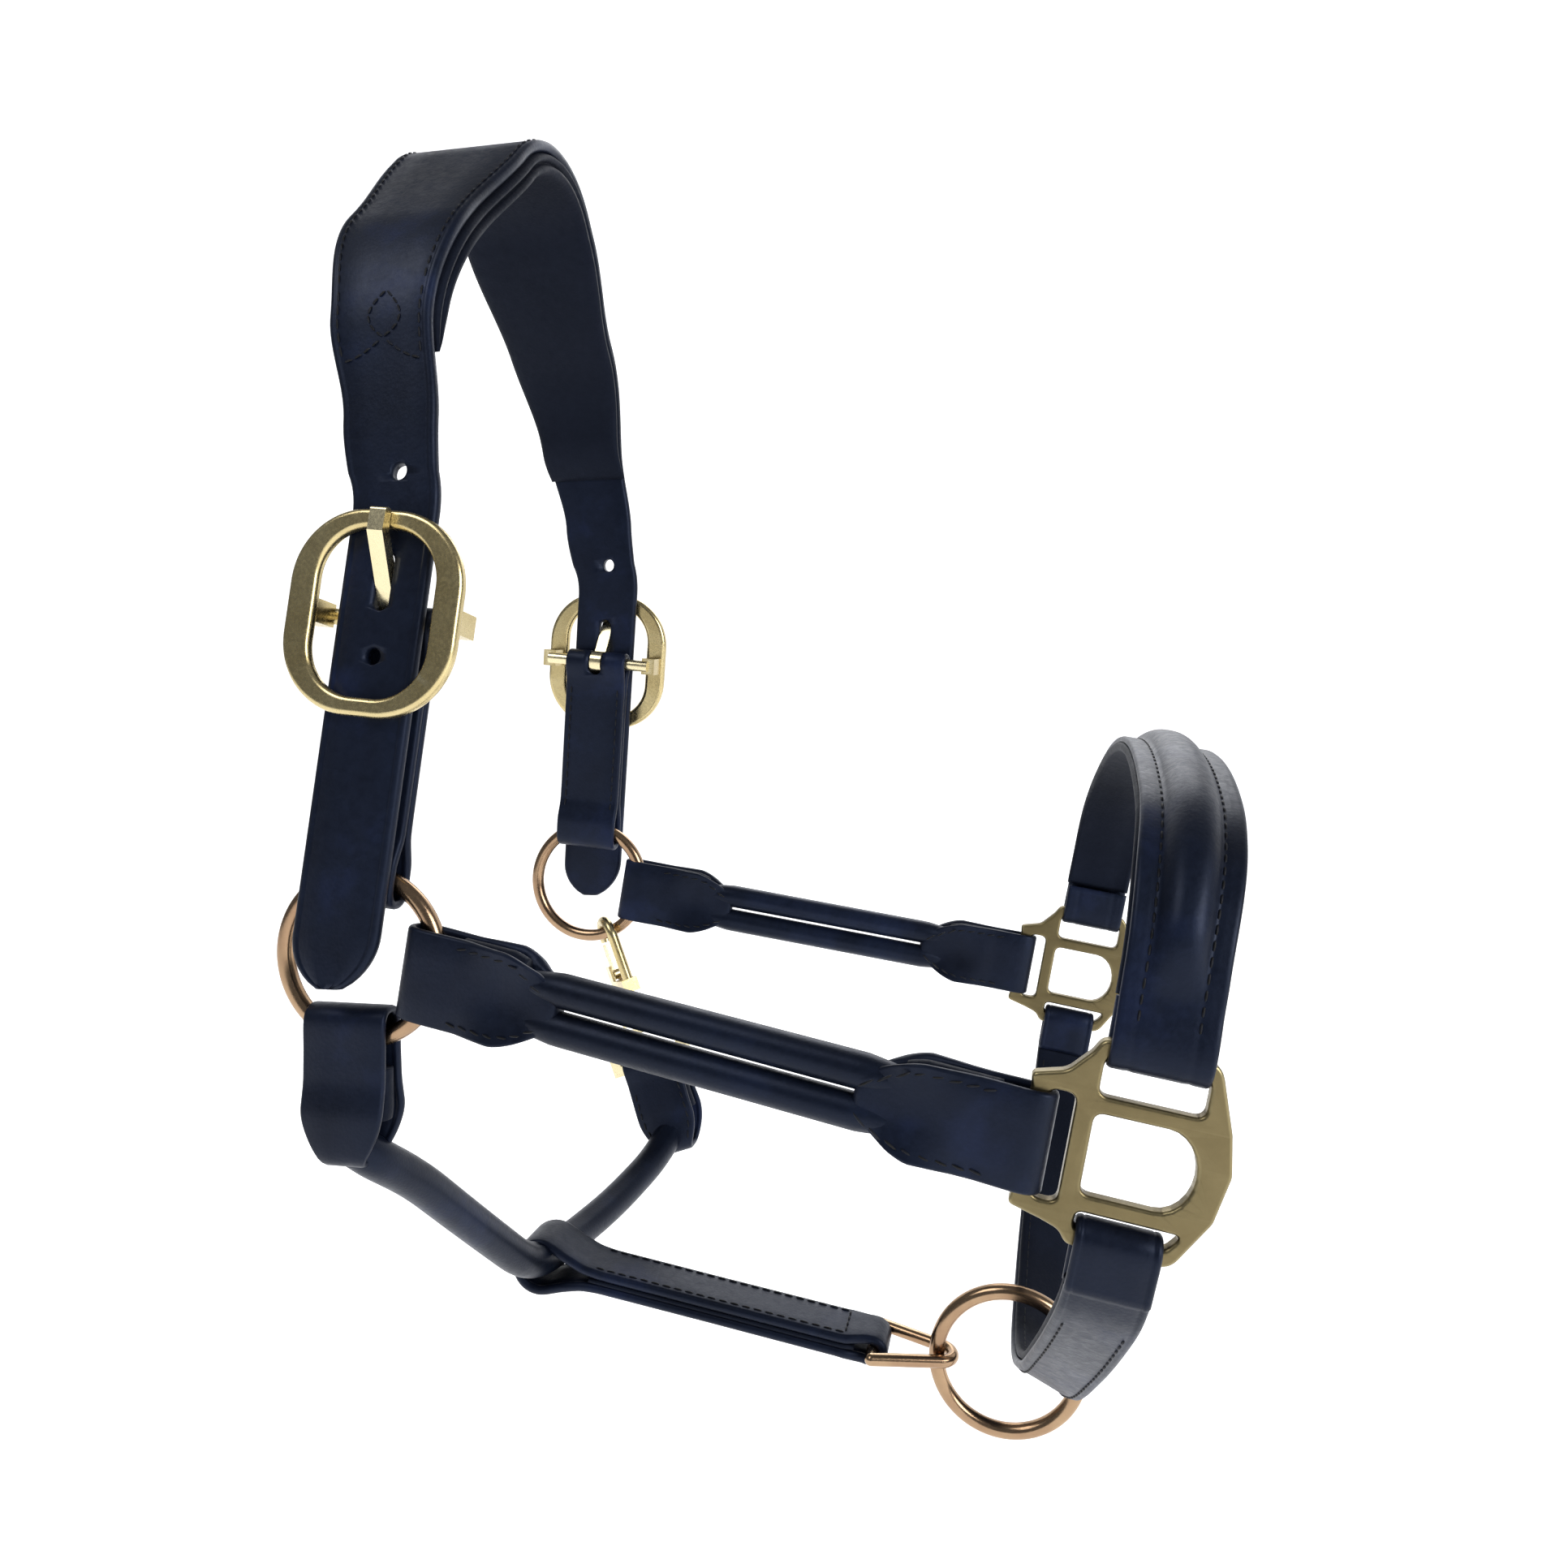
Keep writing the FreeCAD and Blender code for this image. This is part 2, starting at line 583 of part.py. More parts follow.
def cheek_rolls(side):
    """Two rolled strips side by side, each sewn round its own cord."""
    frame = cheek_frame(SIDES[side])
    length = S.front_tab_start - S.rear_tab_end
    for name, sign in (("upper", 1), ("lower", -1)):
        height = sign * (S.roll_thick + S.roll_gap).value / 2
        along = Placement(frame.multVec(Vector(S.rear_tab_end.value, 0, height)),
                          frame.Rotation.multiply(turn(Y, 90)))
        core = primitive("Cylinder", f"{side}_cheek_{name}_core", along, Radius=S.core_thick / 2, Height=length)
        leather = primitive("Cylinder", f"{side}_{name}_strip", along, Radius=S.roll_thick / 2, Height=length)
        keep(core, f"{side}_cheek_{name}_core")
        keep(cut(f"{side}_cheek_{name}_roll", leather, core), f"{side}_cheek_{name}_roll")


def square(side):
    """A flat casting: a rear bar for the cheekpiece, a window, and bars above and below for the other straps."""
    body = new_body(f"{side}_square", square_frame(SIDES[side]))
    bar = S.square_bar
    rear = bar / 2
    stem = rear + S.square_slot
    window = stem + S.square_stem
    top = S.top_bar_rise + bar / 2
    low = S.low_bar_drop + bar / 2
    tall = S.window_half
    nose = S.square_length

    def outline(sketch):
        polygon(sketch, [(-rear - 0.5, 15.2), (rear + 3, 17.2), (stem + 1, 23), (window - 1, top), (nose - 6.5, top),
                         (nose - 1.6, 11), (nose, 2), (nose - 2, -9), (nose - 9, -low), (window - 1, -low),
                         (stem + 1, -low + 2.6), (rear + 3, -17), (-rear - 0.5, -15.2), (-rear, -12.4),
                         (-rear, 12.4)])

    pad(body, "XZ_Plane", outline, S.square_thick)
    slot_end = S.front_tab_width / 2 + 0.5
    windows = (
        [(rear, -slot_end), (stem, -slot_end), (stem, slot_end), (rear, slot_end)],
        [(window, tall + bar), (nose - 7.8, tall + bar), (nose - 7.8, top - bar), (window, top - bar)],
        [(window, -tall), (nose - 12, -tall), (nose - 8.6, -tall + 3.4), (nose - 7.2, 0), (nose - 8.6, tall - 3.4),
         (nose - 12, tall), (window, tall)],
        [(window, -tall - bar), (window, -low + bar), (nose - 10.6, -low + bar), (nose - 7.6, -tall - bar)])
    for corners in windows:
        pocket(body, "XZ_Plane", lambda s: polygon(s, corners))
    keep(body, f"{side}_square")


# ---------------------------------------------------------------- noseband, in the nose part's own frame

NOSE_CENTRE = S.cheek_reach + S.square_bar / 2 + S.square_slot + S.square_stem + 11.4
FOLD_ROOM = S.square_thick / 2 + S.square_play
NOSE_FOLD = FOLD_ROOM + S.fold_leather


def nose_arch():
    """The noseband's line from the right square's top bar over the nose to the left square's."""
    foot = Vector(0, -S.square_half.value, S.top_bar_rise.value + 6)
    shoulder = Vector(0, foot.y, S.top_bar_rise.value + S.nose_shoulder.value)
    top = S.top_bar_rise.value + S.nose_rise.value
    return Arch(foot, shoulder, S.nose_slope.value, top, S.nose_bend.value)


def fold_block(bar_height, away, half_width, centre):
    """Leather folded round one bar of a square: a round-ended block with the bar's room in it."""
    leather, room = NOSE_FOLD.value, FOLD_ROOM.value
    tall = S.square_bar.value / 2 + S.square_play.value
    block = Part.makeBox(2 * half_width, 2 * leather, 12 + tall + S.fold_leather.value,
                         Vector(centre - half_width, -leather, -tall - S.fold_leather.value))
    tip = -tall - S.fold_leather.value
    rims = [e for e in block.Edges if straight_along(e, X) and abs(middle(e).z - tip) < 0.01]
    block = block.makeFillet(3.2, rims)
    block = block.cut(Part.makeBox(THROUGH, 2 * room, 2 * tall, Vector(0, -room, -tall)))
    if away < 0:
        block = block.mirror(Vector(0, 0, 0), Z)
    block.translate(Vector(0, 0, bar_height))
    return block


def nose_outline(half, half_top):
    centre = NOSE_CENTRE.value
    low, high = S.top_bar_rise.value - 10, S.top_bar_rise.value + S.nose_rise.value + 12
    rise = high - low
    rear = [(centre - half, low), (centre - half, low + rise * 0.4), (centre - (half + half_top) / 2 + 0.6,
            low + rise * 0.7), (centre + 1.2 - half_top, high)]
    front = [(centre + half, low), (centre + half, low + rise * 0.4), (centre + (half + half_top) / 2 + 0.6,
             low + rise * 0.7), (centre + 1.2 + half_top, high)]
    return side_outline(rear, front)


def noseband():
    """Cover, padding and lining of the noseband, and its two folds round the squares' top bars."""
    arch = nose_arch()
    half = S.square_half.value
    foot = arch.foot.z
    cover_thick, lining_thick = S.nose_cover_thick.value, S.nose_lining_thick.value
    narrow, wide = S.nose_width.value / 2, S.nose_top_width.value / 2
    pad_half = S.nose_pad_width.value / 2
    pad_above = Part.makeBox(THROUGH, THROUGH, THROUGH, Vector(0, -THROUGH / 2, foot + 16))
    ridge_above = Part.makeBox(THROUGH, THROUGH, THROUGH, Vector(0, -THROUGH / 2, foot + 12))
    padding = arch.band(0, S.nose_pad_thick.value)
    padding = padding.common(nose_outline(pad_half, pad_half)).common(pad_above)
    ridge = arch.band(0, S.nose_pad_thick.value + cover_thick)
    ridge = ridge.common(nose_outline(pad_half + 2, pad_half + 2)).common(ridge_above)
    cover = arch.band(0, cover_thick).common(nose_outline(narrow - 0.8, wide - 1.2)).fuse(ridge)
    for side in SIDES.values():
        fold = fold_block(S.top_bar_rise.value, 1, narrow - 0.2, NOSE_CENTRE.value)
        fold.translate(Vector(0, side * half, 0))
        cover = cover.fuse(fold)
    cover = cover.cut(padding)
    lining = arch.band(-lining_thick, 0).common(nose_outline(narrow, wide)).cut(cover)
    for label, shape in (("noseband_cover", cover), ("noseband_padding", padding), ("noseband_lining", lining)):
        feature = solid_feature(label, shape.removeSplitter())
        feature.Placement = NOSE_PLANE


# ---------------------------------------------------------------- chin strap

CHIN_CENTRE = NOSE_CENTRE.value - 1.4
CHIN_RING = Vector(S.chin_ring_reach.value, 0, -S.ring_drop.value - S.chin_ring_drop.value)


def chin_route():
    """The chin strap's middle line from the right fold to the middle, with the slope of its width at each point."""
    start = NOSE_PLANE.multVec(Vector(CHIN_CENTRE, -S.square_half.value, -S.low_bar_drop.value - 10.5))
    end = CHIN_RING + Vector(S.chin_seat_ahead.value, 0, S.chin_seat_up.value)
    slope = S.cheek_slope.value
    stations = ((0, 0, 0, 0), (0.05, 0.10, 0.10, 0.05), (0.183, 0.28, 0.28, 0.20), (0.423, 0.56, 0.55, 0.50),
                (0.71, 0.85, 0.84, 0.80), (1, 1, 1, 1))
    route = []
    for across, down, rearward, tilt in stations:
        spot = Vector(start.x + (end.x - start.x) * rearward, start.y * (1 - across),
                      start.z + (end.z - start.z) * down)
        route.append((spot, slope + (S.chin_tilt.value - slope) * tilt))
    return route


def chin_layer(low, high):
    """One layer of the chin strap, lofted through sections that turn as the strap twists down to the ring."""
    half_route = chin_route()
    route = half_route + [(Vector(p.x, -p.y, p.z), angle) for p, angle in reversed(half_route[:-1])]
    curve = interpolated([tuple(p) for p, _ in route])
    twist = interpolated([(n, angle, 0) for n, (_, angle) in enumerate(route)])
    steps = 18
    sections = []
    for n in range(steps + 1):
        share = n / steps
        at = curve.FirstParameter + (curve.LastParameter - curve.FirstParameter) * share
        twist_at = twist.FirstParameter + (twist.LastParameter - twist.FirstParameter) * share
        spot, along = curve.value(at), curve.tangent(at)[0]
        if n in (0, steps):
            down = NOSE_PLANE.Rotation.multVec(-Z)
            along = down if n == 0 else -down
        angle = math.radians(twist.value(twist_at).y)
        across = Vector(math.cos(angle), 0, -math.sin(angle))
        outward = along.cross(across).normalize()
        if outward.y * spot.y < 0 or (abs(spot.y) < 1 and outward.x > 0):
            outward = -outward
        across = outward.cross(along).normalize()
        half = S.chin_width.value / 2
        corners = [spot + across * a + outward * b for a, b in ((-half, low), (half, low), (half, high),
                                                                 (-half, high))]
        sections.append(Part.makePolygon(corners + corners[:1]))
    return Part.makeLoft(sections, True, True)


def chin_strap():
    """Outer layer with its folds round the squares' low bars, and the inner layer that closes the loop."""
    gap = 0.05
    outer = chin_layer(gap, S.chin_layer.value)
    inner = chin_layer(-S.chin_layer.value, -gap)
    for side in SIDES.values():
        fold = fold_block(-S.low_bar_drop.value, -1, S.chin_width.value / 2, CHIN_CENTRE)
        fold.translate(Vector(0, side * S.square_half.value, 0))
        fold.Placement = NOSE_PLANE.multiply(fold.Placement)
        outer = outer.fuse(fold)
    solid_feature("chin_strap_outer", outer)
    solid_feature("chin_strap_inner", inner.cut(outer))
    keep(primitive("Torus", "chin_ring", Placement(CHIN_RING, LIE_FLAT),
                   Radius1=(S.ring_outer - S.chin_wire) / 2, Radius2=S.chin_wire / 2), "chin_ring")


# ---------------------------------------------------------------- throat lash

def clip_frame():
    """At the left ring's centre, X square to the clip, Y across, Z pointing back up the clip's axis."""
    return Placement(ring_centre(SIDES["left"]), turn(Y, -S.clip_angle.value))


def throat_route():
    """The throat lash's middle line between its two tabs; the stretch under the connector's loop runs along Y."""
    middle_spot = Vector(S.throat_reach.value, 0, -S.ring_drop.value - S.throat_drop.value)
    right = ring_centre(-1) + Vector(S.throat_tab_offset.value + 1, 0, -S.throat_tab_end.value + 4)
    left = clip_frame().multVec(Vector(0, 0, -S.eye_reach.value - S.left_tab_length.value + 4))
    drop_right, drop_left = middle_spot.z - right.z, middle_spot.z - left.z
    blend = lambda tab, reach, rise, drop: Vector(middle_spot.x + (tab.x - middle_spot.x) * reach[0],
                                                 tab.y * reach[1], middle_spot.z - drop * rise)
    return [right, blend(right, (0.86, 0.96), 0.94, drop_right), blend(right, (0.66, 0.78), 0.77, drop_right),
            blend(right, (0.40, 0.52), 0.46, drop_right), blend(right, (0.04, 0.16), 0.04, drop_right),
            blend(left, (0.04, 0.17), -0.06, drop_left), blend(left, (0.42, 0.50), 0.12, drop_left),
            blend(left, (0.78, 0.80), 0.50, drop_left), left]


def rounded_path(points):
    """Straight runs joined by tangent arcs, each arc as large as its two runs allow."""
    edges = []
    start = points[0]
    for before, corner, after in zip(points, points[1:], points[2:]):
        back, ahead = before - corner, after - corner
        cutback = 0.45 * min(back.Length, ahead.Length)
        enter = corner + Vector(back).normalize() * cutback
        leave = corner + Vector(ahead).normalize() * cutback
        half_turn = (math.pi - back.getAngle(ahead)) / 2
        radius = cutback / math.tan(half_turn)
        bisector = (Vector(back).normalize() + Vector(ahead).normalize()).normalize()
        apex = corner + bisector * (radius / math.cos(half_turn) - radius)
        edges.append(Part.LineSegment(start, enter).toShape())
        edges.append(Part.Arc(enter, apex, leave).toShape())
        start = leave
    edges.append(Part.LineSegment(start, points[-1]).toShape())
    return Part.Wire(edges)


def tube(path, radius):
    """A round bar along a path."""
    first = path.OrderedEdges[0]
    start = first.valueAt(first.FirstParameter)
    along = first.tangentAt(first.FirstParameter)
    section = Part.Wire(Part.makeCircle(radius, start, along))
    return path.makePipeShell([section], True, False)


def right_throat_tab():
    """The throat lash's right end, folded round the bottom of the right cheek ring."""
    body = new_body("throat_right_fold", Placement(ring_centre(-1), Rotation()))
    half = S.throat_tab_width / 2
    centre = S.throat_tab_offset
    edge = S.fold_edge - 1.2
    root = S.throat_roll / 2 + 1.2

    def outline(sketch):
        polygon(sketch, [(-FOLD_HALF, -edge), (FOLD_HALF, -edge), (FOLD_HALF, -edge - 15), (root, -edge - 30),
                         (root, -S.throat_tab_end), (-root, -S.throat_tab_end), (-root, -edge - 30),
                         (-FOLD_HALF, -edge - 15)])

    pad(body, "YZ_Plane", outline, S.throat_tab_width + 12)
    round_edges(body, 4.2, lambda e: straight_along(e, X) and abs(middle(e).z + edge.value) < 0.01)
    reach = THROUGH / 4
    for sign in (-1, 1):
        side_line = centre + half * sign
        pocket(body, "XZ_Plane", lambda s: polygon(s, [(side_line, 0), (side_line, -S.throat_tab_end + 10),
                                                       (centre + half * sign * 0.66, -S.throat_tab_end - 1),
                                                       (size(sign * reach), -S.throat_tab_end - 1),
                                                       (size(sign * reach), 0)]))
    return cut("throat_right_leather", body, rooms["right"])


def left_throat_tab():
    """The left end, folded round the bar of the clip's eye."""
    frame = clip_frame()
    place = Placement(frame.multVec(Vector(0, 0, -S.eye_reach.value)), frame.Rotation)
    body = new_body("throat_left_fold", place)
    room = S.eye_wire / 2 + S.square_play
    half = room + S.fold_leather
    root = S.throat_roll / 2 + 1.2
    width = S.throat_tab_width / 2

    def outline(sketch):
        polygon(sketch, [(-half, half), (half, half), (half, -9), (root, -17), (root, -S.left_tab_length),
                         (-root, -S.left_tab_length), (-root, -17), (-half, -9)])

    pad(body, "YZ_Plane", outline, S.throat_tab_width)
    round_edges(body, 3.6, lambda e: straight_along(e, X) and abs(middle(e).z - half.value) < 0.01)
    pocket(body, "YZ_Plane", lambda s: polygon(s, [(-room, -room), (room, -room), (room, room), (-room, room)]))
    for sign in (-1, 1):
        pocket(body, "XZ_Plane", lambda s: polygon(s, [
            (width * sign, -S.left_tab_length + 9), (width * sign * 0.6, -S.left_tab_length - 1),
            (width * sign * 2, -S.left_tab_length - 1), (width * sign * 2, -S.left_tab_length + 9)]))
    return body


def throat_lash():
    """The rolled throat lash with its cord, ending in a tab at each side."""
    path = rounded_path(throat_route())
    core = tube(path, S.throat_core_thick.value / 2)
    roll = tube(path, S.throat_roll.value / 2)
    tabs = {"throat_right_tab": right_throat_tab(), "throat_left_tab": left_throat_tab()}
    doc.recompute()
    solid_feature("throat_core", core)
    solid_feature("throat_roll", roll.cut(core))
    roll_room = helper("throat_roll_room", roll)
    for label, tab in tabs.items():
        keep(cut(label, tab, roll_room), label)


def connector_frame():
    place = Vector(S.throat_reach.value, 0, -S.ring_drop.value - S.throat_drop.value)
    return Placement(place, turn(Y, S.connector_slope.value))


def connector():
    """The strap from the throat lash to the chin ring's link, looped round the lash at its rear end."""
    body = new_body("connector_leather", connector_frame())
    bore = S.throat_roll / 2 + S.roll_play
    loop = bore + S.connector_leather
    half = S.connector_thick / 2
    reach = S.connector_reach
    room = S.link_wire / 2 + 0.4
    eye = room + S.fold_leather

    def outline(sketch):
        polygon(sketch, [(-loop * 0.92, -loop * 0.45), (-loop * 0.92, loop * 0.45), (-loop * 0.4, loop),
                         (loop * 0.55, loop), (loop * 1.5, half + 1.5), (loop * 2.6, half), (reach - 10, half),
                         (reach - 4, eye), (reach + eye, eye), (reach + eye, -eye), (reach - 4, -eye),
                         (reach - 10, -half), (loop * 2.6, -half), (loop * 1.5, -half - 1.5), (loop * 0.55, -loop),
                         (-loop * 0.4, -loop)])

    pad(body, "XZ_Plane", outline, S.connector_width)
    round_edges(body, 3.4, lambda e: straight_along(e, Y) and middle(e).x < -1
                or straight_along(e, Y) and abs(middle(e).x - (reach + eye).value) < 0.01)
    pocket(body, "XZ_Plane", lambda s: circle(s, (reach, 0), room))
    for sign in (-1, 1):
        side_line, edge = S.connector_fold * sign / 2, S.connector_width * sign
        pocket(body, "XY_Plane", lambda s: polygon(s, [(reach - 3.6, side_line), (reach + 9, side_line),
                                                       (reach + 9, edge), (reach - 6, edge)]))
    slit = bore + 1.6
    pocket(body, "XZ_Plane", lambda s: polygon(s, [(slit, -1.2), (slit + 9, 0), (slit, 1.2)]))
    play = helper("connector_loop_room", tube(rounded_path(throat_route()), bore.value))
    keep(cut("connector_strap", body, play), "connector_strap")


def link_place():
    frame = connector_frame()
    bar = frame.multVec(Vector(S.connector_reach.value, 0, 0))
    rear_wire = CHIN_RING - Vector((S.ring_outer - S.chin_wire).value / 2, 0, 0)
    tip = rear_wire + Vector((S.chin_wire / 2 + S.link_play + S.link_wire / 2).value, 0, 0)
    run = tip - bar
    return Placement(bar, turn(Y, math.degrees(math.atan2(-run.z, run.x)))), run.Length


def chin_link():
    """An egg-shaped link: its wide end's bar lies in the connector's fold and its round tip holds the ring."""
    place, length = link_place()
    half, tip, wire = S.link_half.value, S.link_tip.value, S.link_wire.value / 2
    lean = math.asin((half - tip) / math.hypot(length - tip, half))
    centre = Vector(length - tip, 0, 0)
    shape = Part.makeCylinder(wire, 2 * half, Vector(0, -half, 0), Y)
    for sign in (-1, 1):
        corner = Vector(0, sign * half, 0)
        shoulder = centre + Vector(math.sin(lean), sign * math.cos(lean), 0) * tip
        leg = shoulder - corner
        shape = shape.fuse([Part.makeCylinder(wire, leg.Length, corner, leg), Part.makeSphere(wire, corner),
                            Part.makeSphere(wire, shoulder)])
    start = centre + Vector(math.sin(lean), -math.cos(lean), 0) * tip
    section = Part.Face(Part.Wire(Part.makeCircle(wire, start, Vector(math.cos(lean), math.sin(lean), 0))))
    shape = shape.fuse(section.revolve(centre, Z, 180 - 2 * math.degrees(lean)))
    feature = solid_feature("chin_link", shape.removeSplitter())
    feature.Placement = place


# ---------------------------------------------------------------- snap hook

def hook_frame():
    """The hook's own plane, turned about the clip's axis so that the ring lies slanted in it."""
    frame = clip_frame()
    return Placement(frame.Base, frame.Rotation.multiply(turn(Z, S.hook_turn.value)))


def clip_hook():
    """A cast hook: a round bar that loops over the ring, a foot for the gate and a shank for the swivel."""
    frame = hook_frame()
    wire = S.hook_wire.value / 2
    reach = S.hook_width.value / 2 + wire
    top = (S.ring_outer / 2 - S.ring_wire).value - S.ring_play.value - wire
    arc_z, foot = -(top + reach), -S.hook_foot.value
    edges = [Part.LineSegment(Vector(0, -reach, foot), Vector(0, -reach, arc_z)),
             Part.Arc(Vector(0, -reach, arc_z), Vector(0, 0, -top), Vector(0, reach, arc_z)),
             Part.LineSegment(Vector(0, reach, arc_z), Vector(0, reach, arc_z - 1.4))]
    path = Part.Wire([e.toShape() for e in edges])
    hook = tube(path, wire)
    foot_block = Part.makeBox(2 * wire + 2.4, 2 * (reach + wire), 5.4, Vector(-wire - 1.2, -reach - wire, foot - 5.4))
    cheeks = Part.makeBox(2 * wire + 2.4, 2 * wire + 1.6, 6.6, Vector(-wire - 1.2, reach - wire - 0.8, foot - 0.2))
    hook = hook.fuse(foot_block).fuse(cheeks)
    gate_room = Part.makeBox(S.eye_wire.value + 0.5, 2 * wire + 12, 7.6,
                             Vector(-S.eye_wire.value / 2 - 0.25, reach - wire - 2, foot - 1.2))
    pin_hole = Part.makeCylinder(S.pin_thick.value / 2, 2 * wire + 4, Vector(-wire - 2, reach, foot + 2.6), X)
    hook = hook.cut(gate_room).cut(pin_hole)
    swivel = S.shank_thick.value / 2
    shank_end = -(S.eye_reach.value - 15)
    shank = Part.makeCylinder(swivel, foot - 5 - shank_end, Vector(0, 0, shank_end), Z)
    head = Part.makeCylinder(swivel + 1.6, 2, Vector(0, 0, shank_end - 2), Z)
    feature = solid_feature("clip_hook", hook.fuse(shank).fuse(head).removeSplitter())
    feature.Placement = frame


def clip_gate():
    """The sprung gate, its pin and the coil of its spring."""
    frame = hook_frame()
    wire = S.hook_wire.value / 2
    reach = S.hook_width.value / 2 + wire
    thick = S.eye_wire.value - 0.6
    pin_z = -S.hook_foot.value + 2.6
    pin_r = S.pin_thick.value / 2
    bar = Part.makeBox(thick, 3.2, S.gate_length.value - 2.6, Vector(-thick / 2, reach - 1.6, pin_z))
    hub = Part.makeCylinder(2.4, thick, Vector(-thick / 2, reach, pin_z), X)
    knob = Part.makeCylinder(1.3, 3.4, Vector(0, reach + 1, pin_z + 8), Y)
    bore = Part.makeCylinder(pin_r + 0.05, 10, Vector(-5, reach, pin_z), X)
    top = (S.ring_outer / 2 - S.ring_wire).value - S.ring_play.value - wire
    nose_end = -(top + reach) - 1.4 - 0.4
    trim = Part.makeBox(20, 20, 20, Vector(-10, 0, nose_end))
    pin = Part.makeCylinder(pin_r, 2 * wire + 2.4, Vector(-wire - 1.2, reach, pin_z), X)
    coil = Part.makeTorus(1.1, 0.35, Vector(0, reach - 4.2, -S.hook_foot.value + 0.4), Z)
    for label, shape in (("clip_gate", bar.fuse(hub).fuse(knob).cut(bore).cut(trim)), ("clip_gate_pin", pin),
                         ("clip_spring", coil)):
        feature = solid_feature(label, shape.removeSplitter())
        feature.Placement = frame


def clip_eye():
    """The swivel's eye: a collar round the hook's shank and a wide loop for the throat lash's tab."""
    frame = clip_frame()
    wire = S.eye_wire.value / 2
    bar = -S.eye_reach.value
    collar_top, collar_low = bar + 27, bar + 16.5
    half = S.eye_width.value / 2 + 2 * wire
    outer = Part.makePolygon([Vector(x, -wire, z) for x, z in (
        (-5, collar_top), (5, collar_top), (6.5, collar_low), (half, bar + 9), (half, bar - wire),
        (-half, bar - wire), (-half, bar + 9), (-6.5, collar_low), (-5, collar_top))])
    inner_half = half - 2 * wire
    inner = Part.makePolygon([Vector(x, -wire, z) for x, z in (
        (-5.2, collar_low + 1), (5.2, collar_low + 1), (inner_half, bar + 8), (inner_half, bar + wire),
        (-inner_half, bar + wire), (-inner_half, bar + 8), (-5.2, collar_low + 1))])
    plate = Part.Face(outer).cut(Part.Face(inner)).extrude(Vector(0, 2 * wire, 0))
    swivel = S.shank_thick.value / 2
    collar = Part.makeCylinder(swivel + 2, collar_top - collar_low - 1, Vector(0, 0, collar_low + 1), Z)
    bore = Part.makeCylinder(swivel + S.shank_play.value, 40, Vector(0, 0, bar + 5), Z)
    feature = solid_feature("clip_eye", plate.fuse(collar).cut(bore).removeSplitter())
    feature.Placement = frame


# ---------------------------------------------------------------- assembly

rooms = {side: ring_tool(side) for side in SIDES}
crown_pieces()
for side_name in SIDES:
    chape(side_name)
    buckle_frame(side_name)
    buckle_tongue(side_name)
    cheek_ring(side_name)
    rear_tab(side_name)
    cheek_rolls(side_name)
    front_tab(side_name)
    square(side_name)
noseband()
chin_strap()
throat_lash()
connector()
chin_link()
clip_eye()
clip_hook()
clip_gate()
doc.recompute()

for thing in doc.Objects:
    if "Invalid" in thing.State or "Error" in thing.State:
        raise RuntimeError(f"{thing.Label} failed: {thing.State}")
os.makedirs("parts", exist_ok=True)
for node in nodes:
    if node.Shape.isNull() or not node.Shape.isValid() or not node.Shape.Solids:
        raise RuntimeError(f"{node.Label} has no valid solid")
    node.Shape.exportStep(os.path.join("parts", f"{node.Label}.step"))
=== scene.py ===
"""A leather headcollar with brass fittings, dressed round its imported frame.

Everything is worked in millimetres in the frame's own axes (+X to the nose, +Y to the horse's left, +Z up,
origin under the crown's lining at the poll) and turned to metres only when a mesh is made.
"""

import math

import bmesh
import bpy
from mathutils import Matrix, Vector


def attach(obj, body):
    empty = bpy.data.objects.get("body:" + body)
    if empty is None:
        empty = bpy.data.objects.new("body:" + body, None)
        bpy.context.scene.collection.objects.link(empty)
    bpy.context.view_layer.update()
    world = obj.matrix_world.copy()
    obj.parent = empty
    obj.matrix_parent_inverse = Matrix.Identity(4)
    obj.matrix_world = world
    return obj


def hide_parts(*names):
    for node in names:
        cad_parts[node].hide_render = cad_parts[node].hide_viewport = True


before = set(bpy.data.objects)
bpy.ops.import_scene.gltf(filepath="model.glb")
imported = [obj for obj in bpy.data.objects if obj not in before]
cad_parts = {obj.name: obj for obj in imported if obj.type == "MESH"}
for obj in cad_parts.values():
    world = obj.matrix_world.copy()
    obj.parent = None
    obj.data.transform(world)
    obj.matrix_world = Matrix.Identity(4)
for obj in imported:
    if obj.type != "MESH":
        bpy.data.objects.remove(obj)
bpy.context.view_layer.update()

MM = 0.001
SIDES = {"right": -1, "left": 1}

# The saddler's measurements, in millimetres and degrees.
RING_DROP, RING_HALF, RING_RADIUS = 242, 85, 22.6
LEAN_IN, LEAN_FORWARD = 6, 6
BUCKLE_RISE = 91
BILLET_OUT, BILLET_TIP, BILLET_HALF, STRAP_THICK = 6.95, -8, 12.5, 3.5
POLL_TOP = 8.25  # height of the crown strap's middle line at its crest
PAD_FOOT, PAD_SEAM_FOOT = -79, -61  # how far down the crown's padding and its edge stitching reach
SEAM_INSET = 3.0  # from the crown's edges to its stitching
CHEEK_SLOPE, CHEEK_REACH, SQUARE_HALF = 10, 179, 104
TOP_BAR, LOW_BAR = 24, 19.2
NOSE_CENTRE, CHIN_CENTRE = 202.8, 201.4
FOLD_EDGE, FOLD_LEATHER = 14, 2.2
BAR_FOLD = 3.7  # radius of the leather's middle round a square's bar
ROLL_APART = 4.9  # from a cheekpiece's middle to each roll's
CHIN_HALF = 9.5  # half the chin strap's width
PAD_SEAM = 0.635  # where the noseband's stitching lies, as a share of its half width
CHIN_RING = Vector((172, 0, -381.2))
LASH = Vector((17, 0, -361))
CLIP_ANGLE, EYE_REACH = 20, 79
CONNECTOR_SLOPE, CONNECTOR_REACH = 9, 114
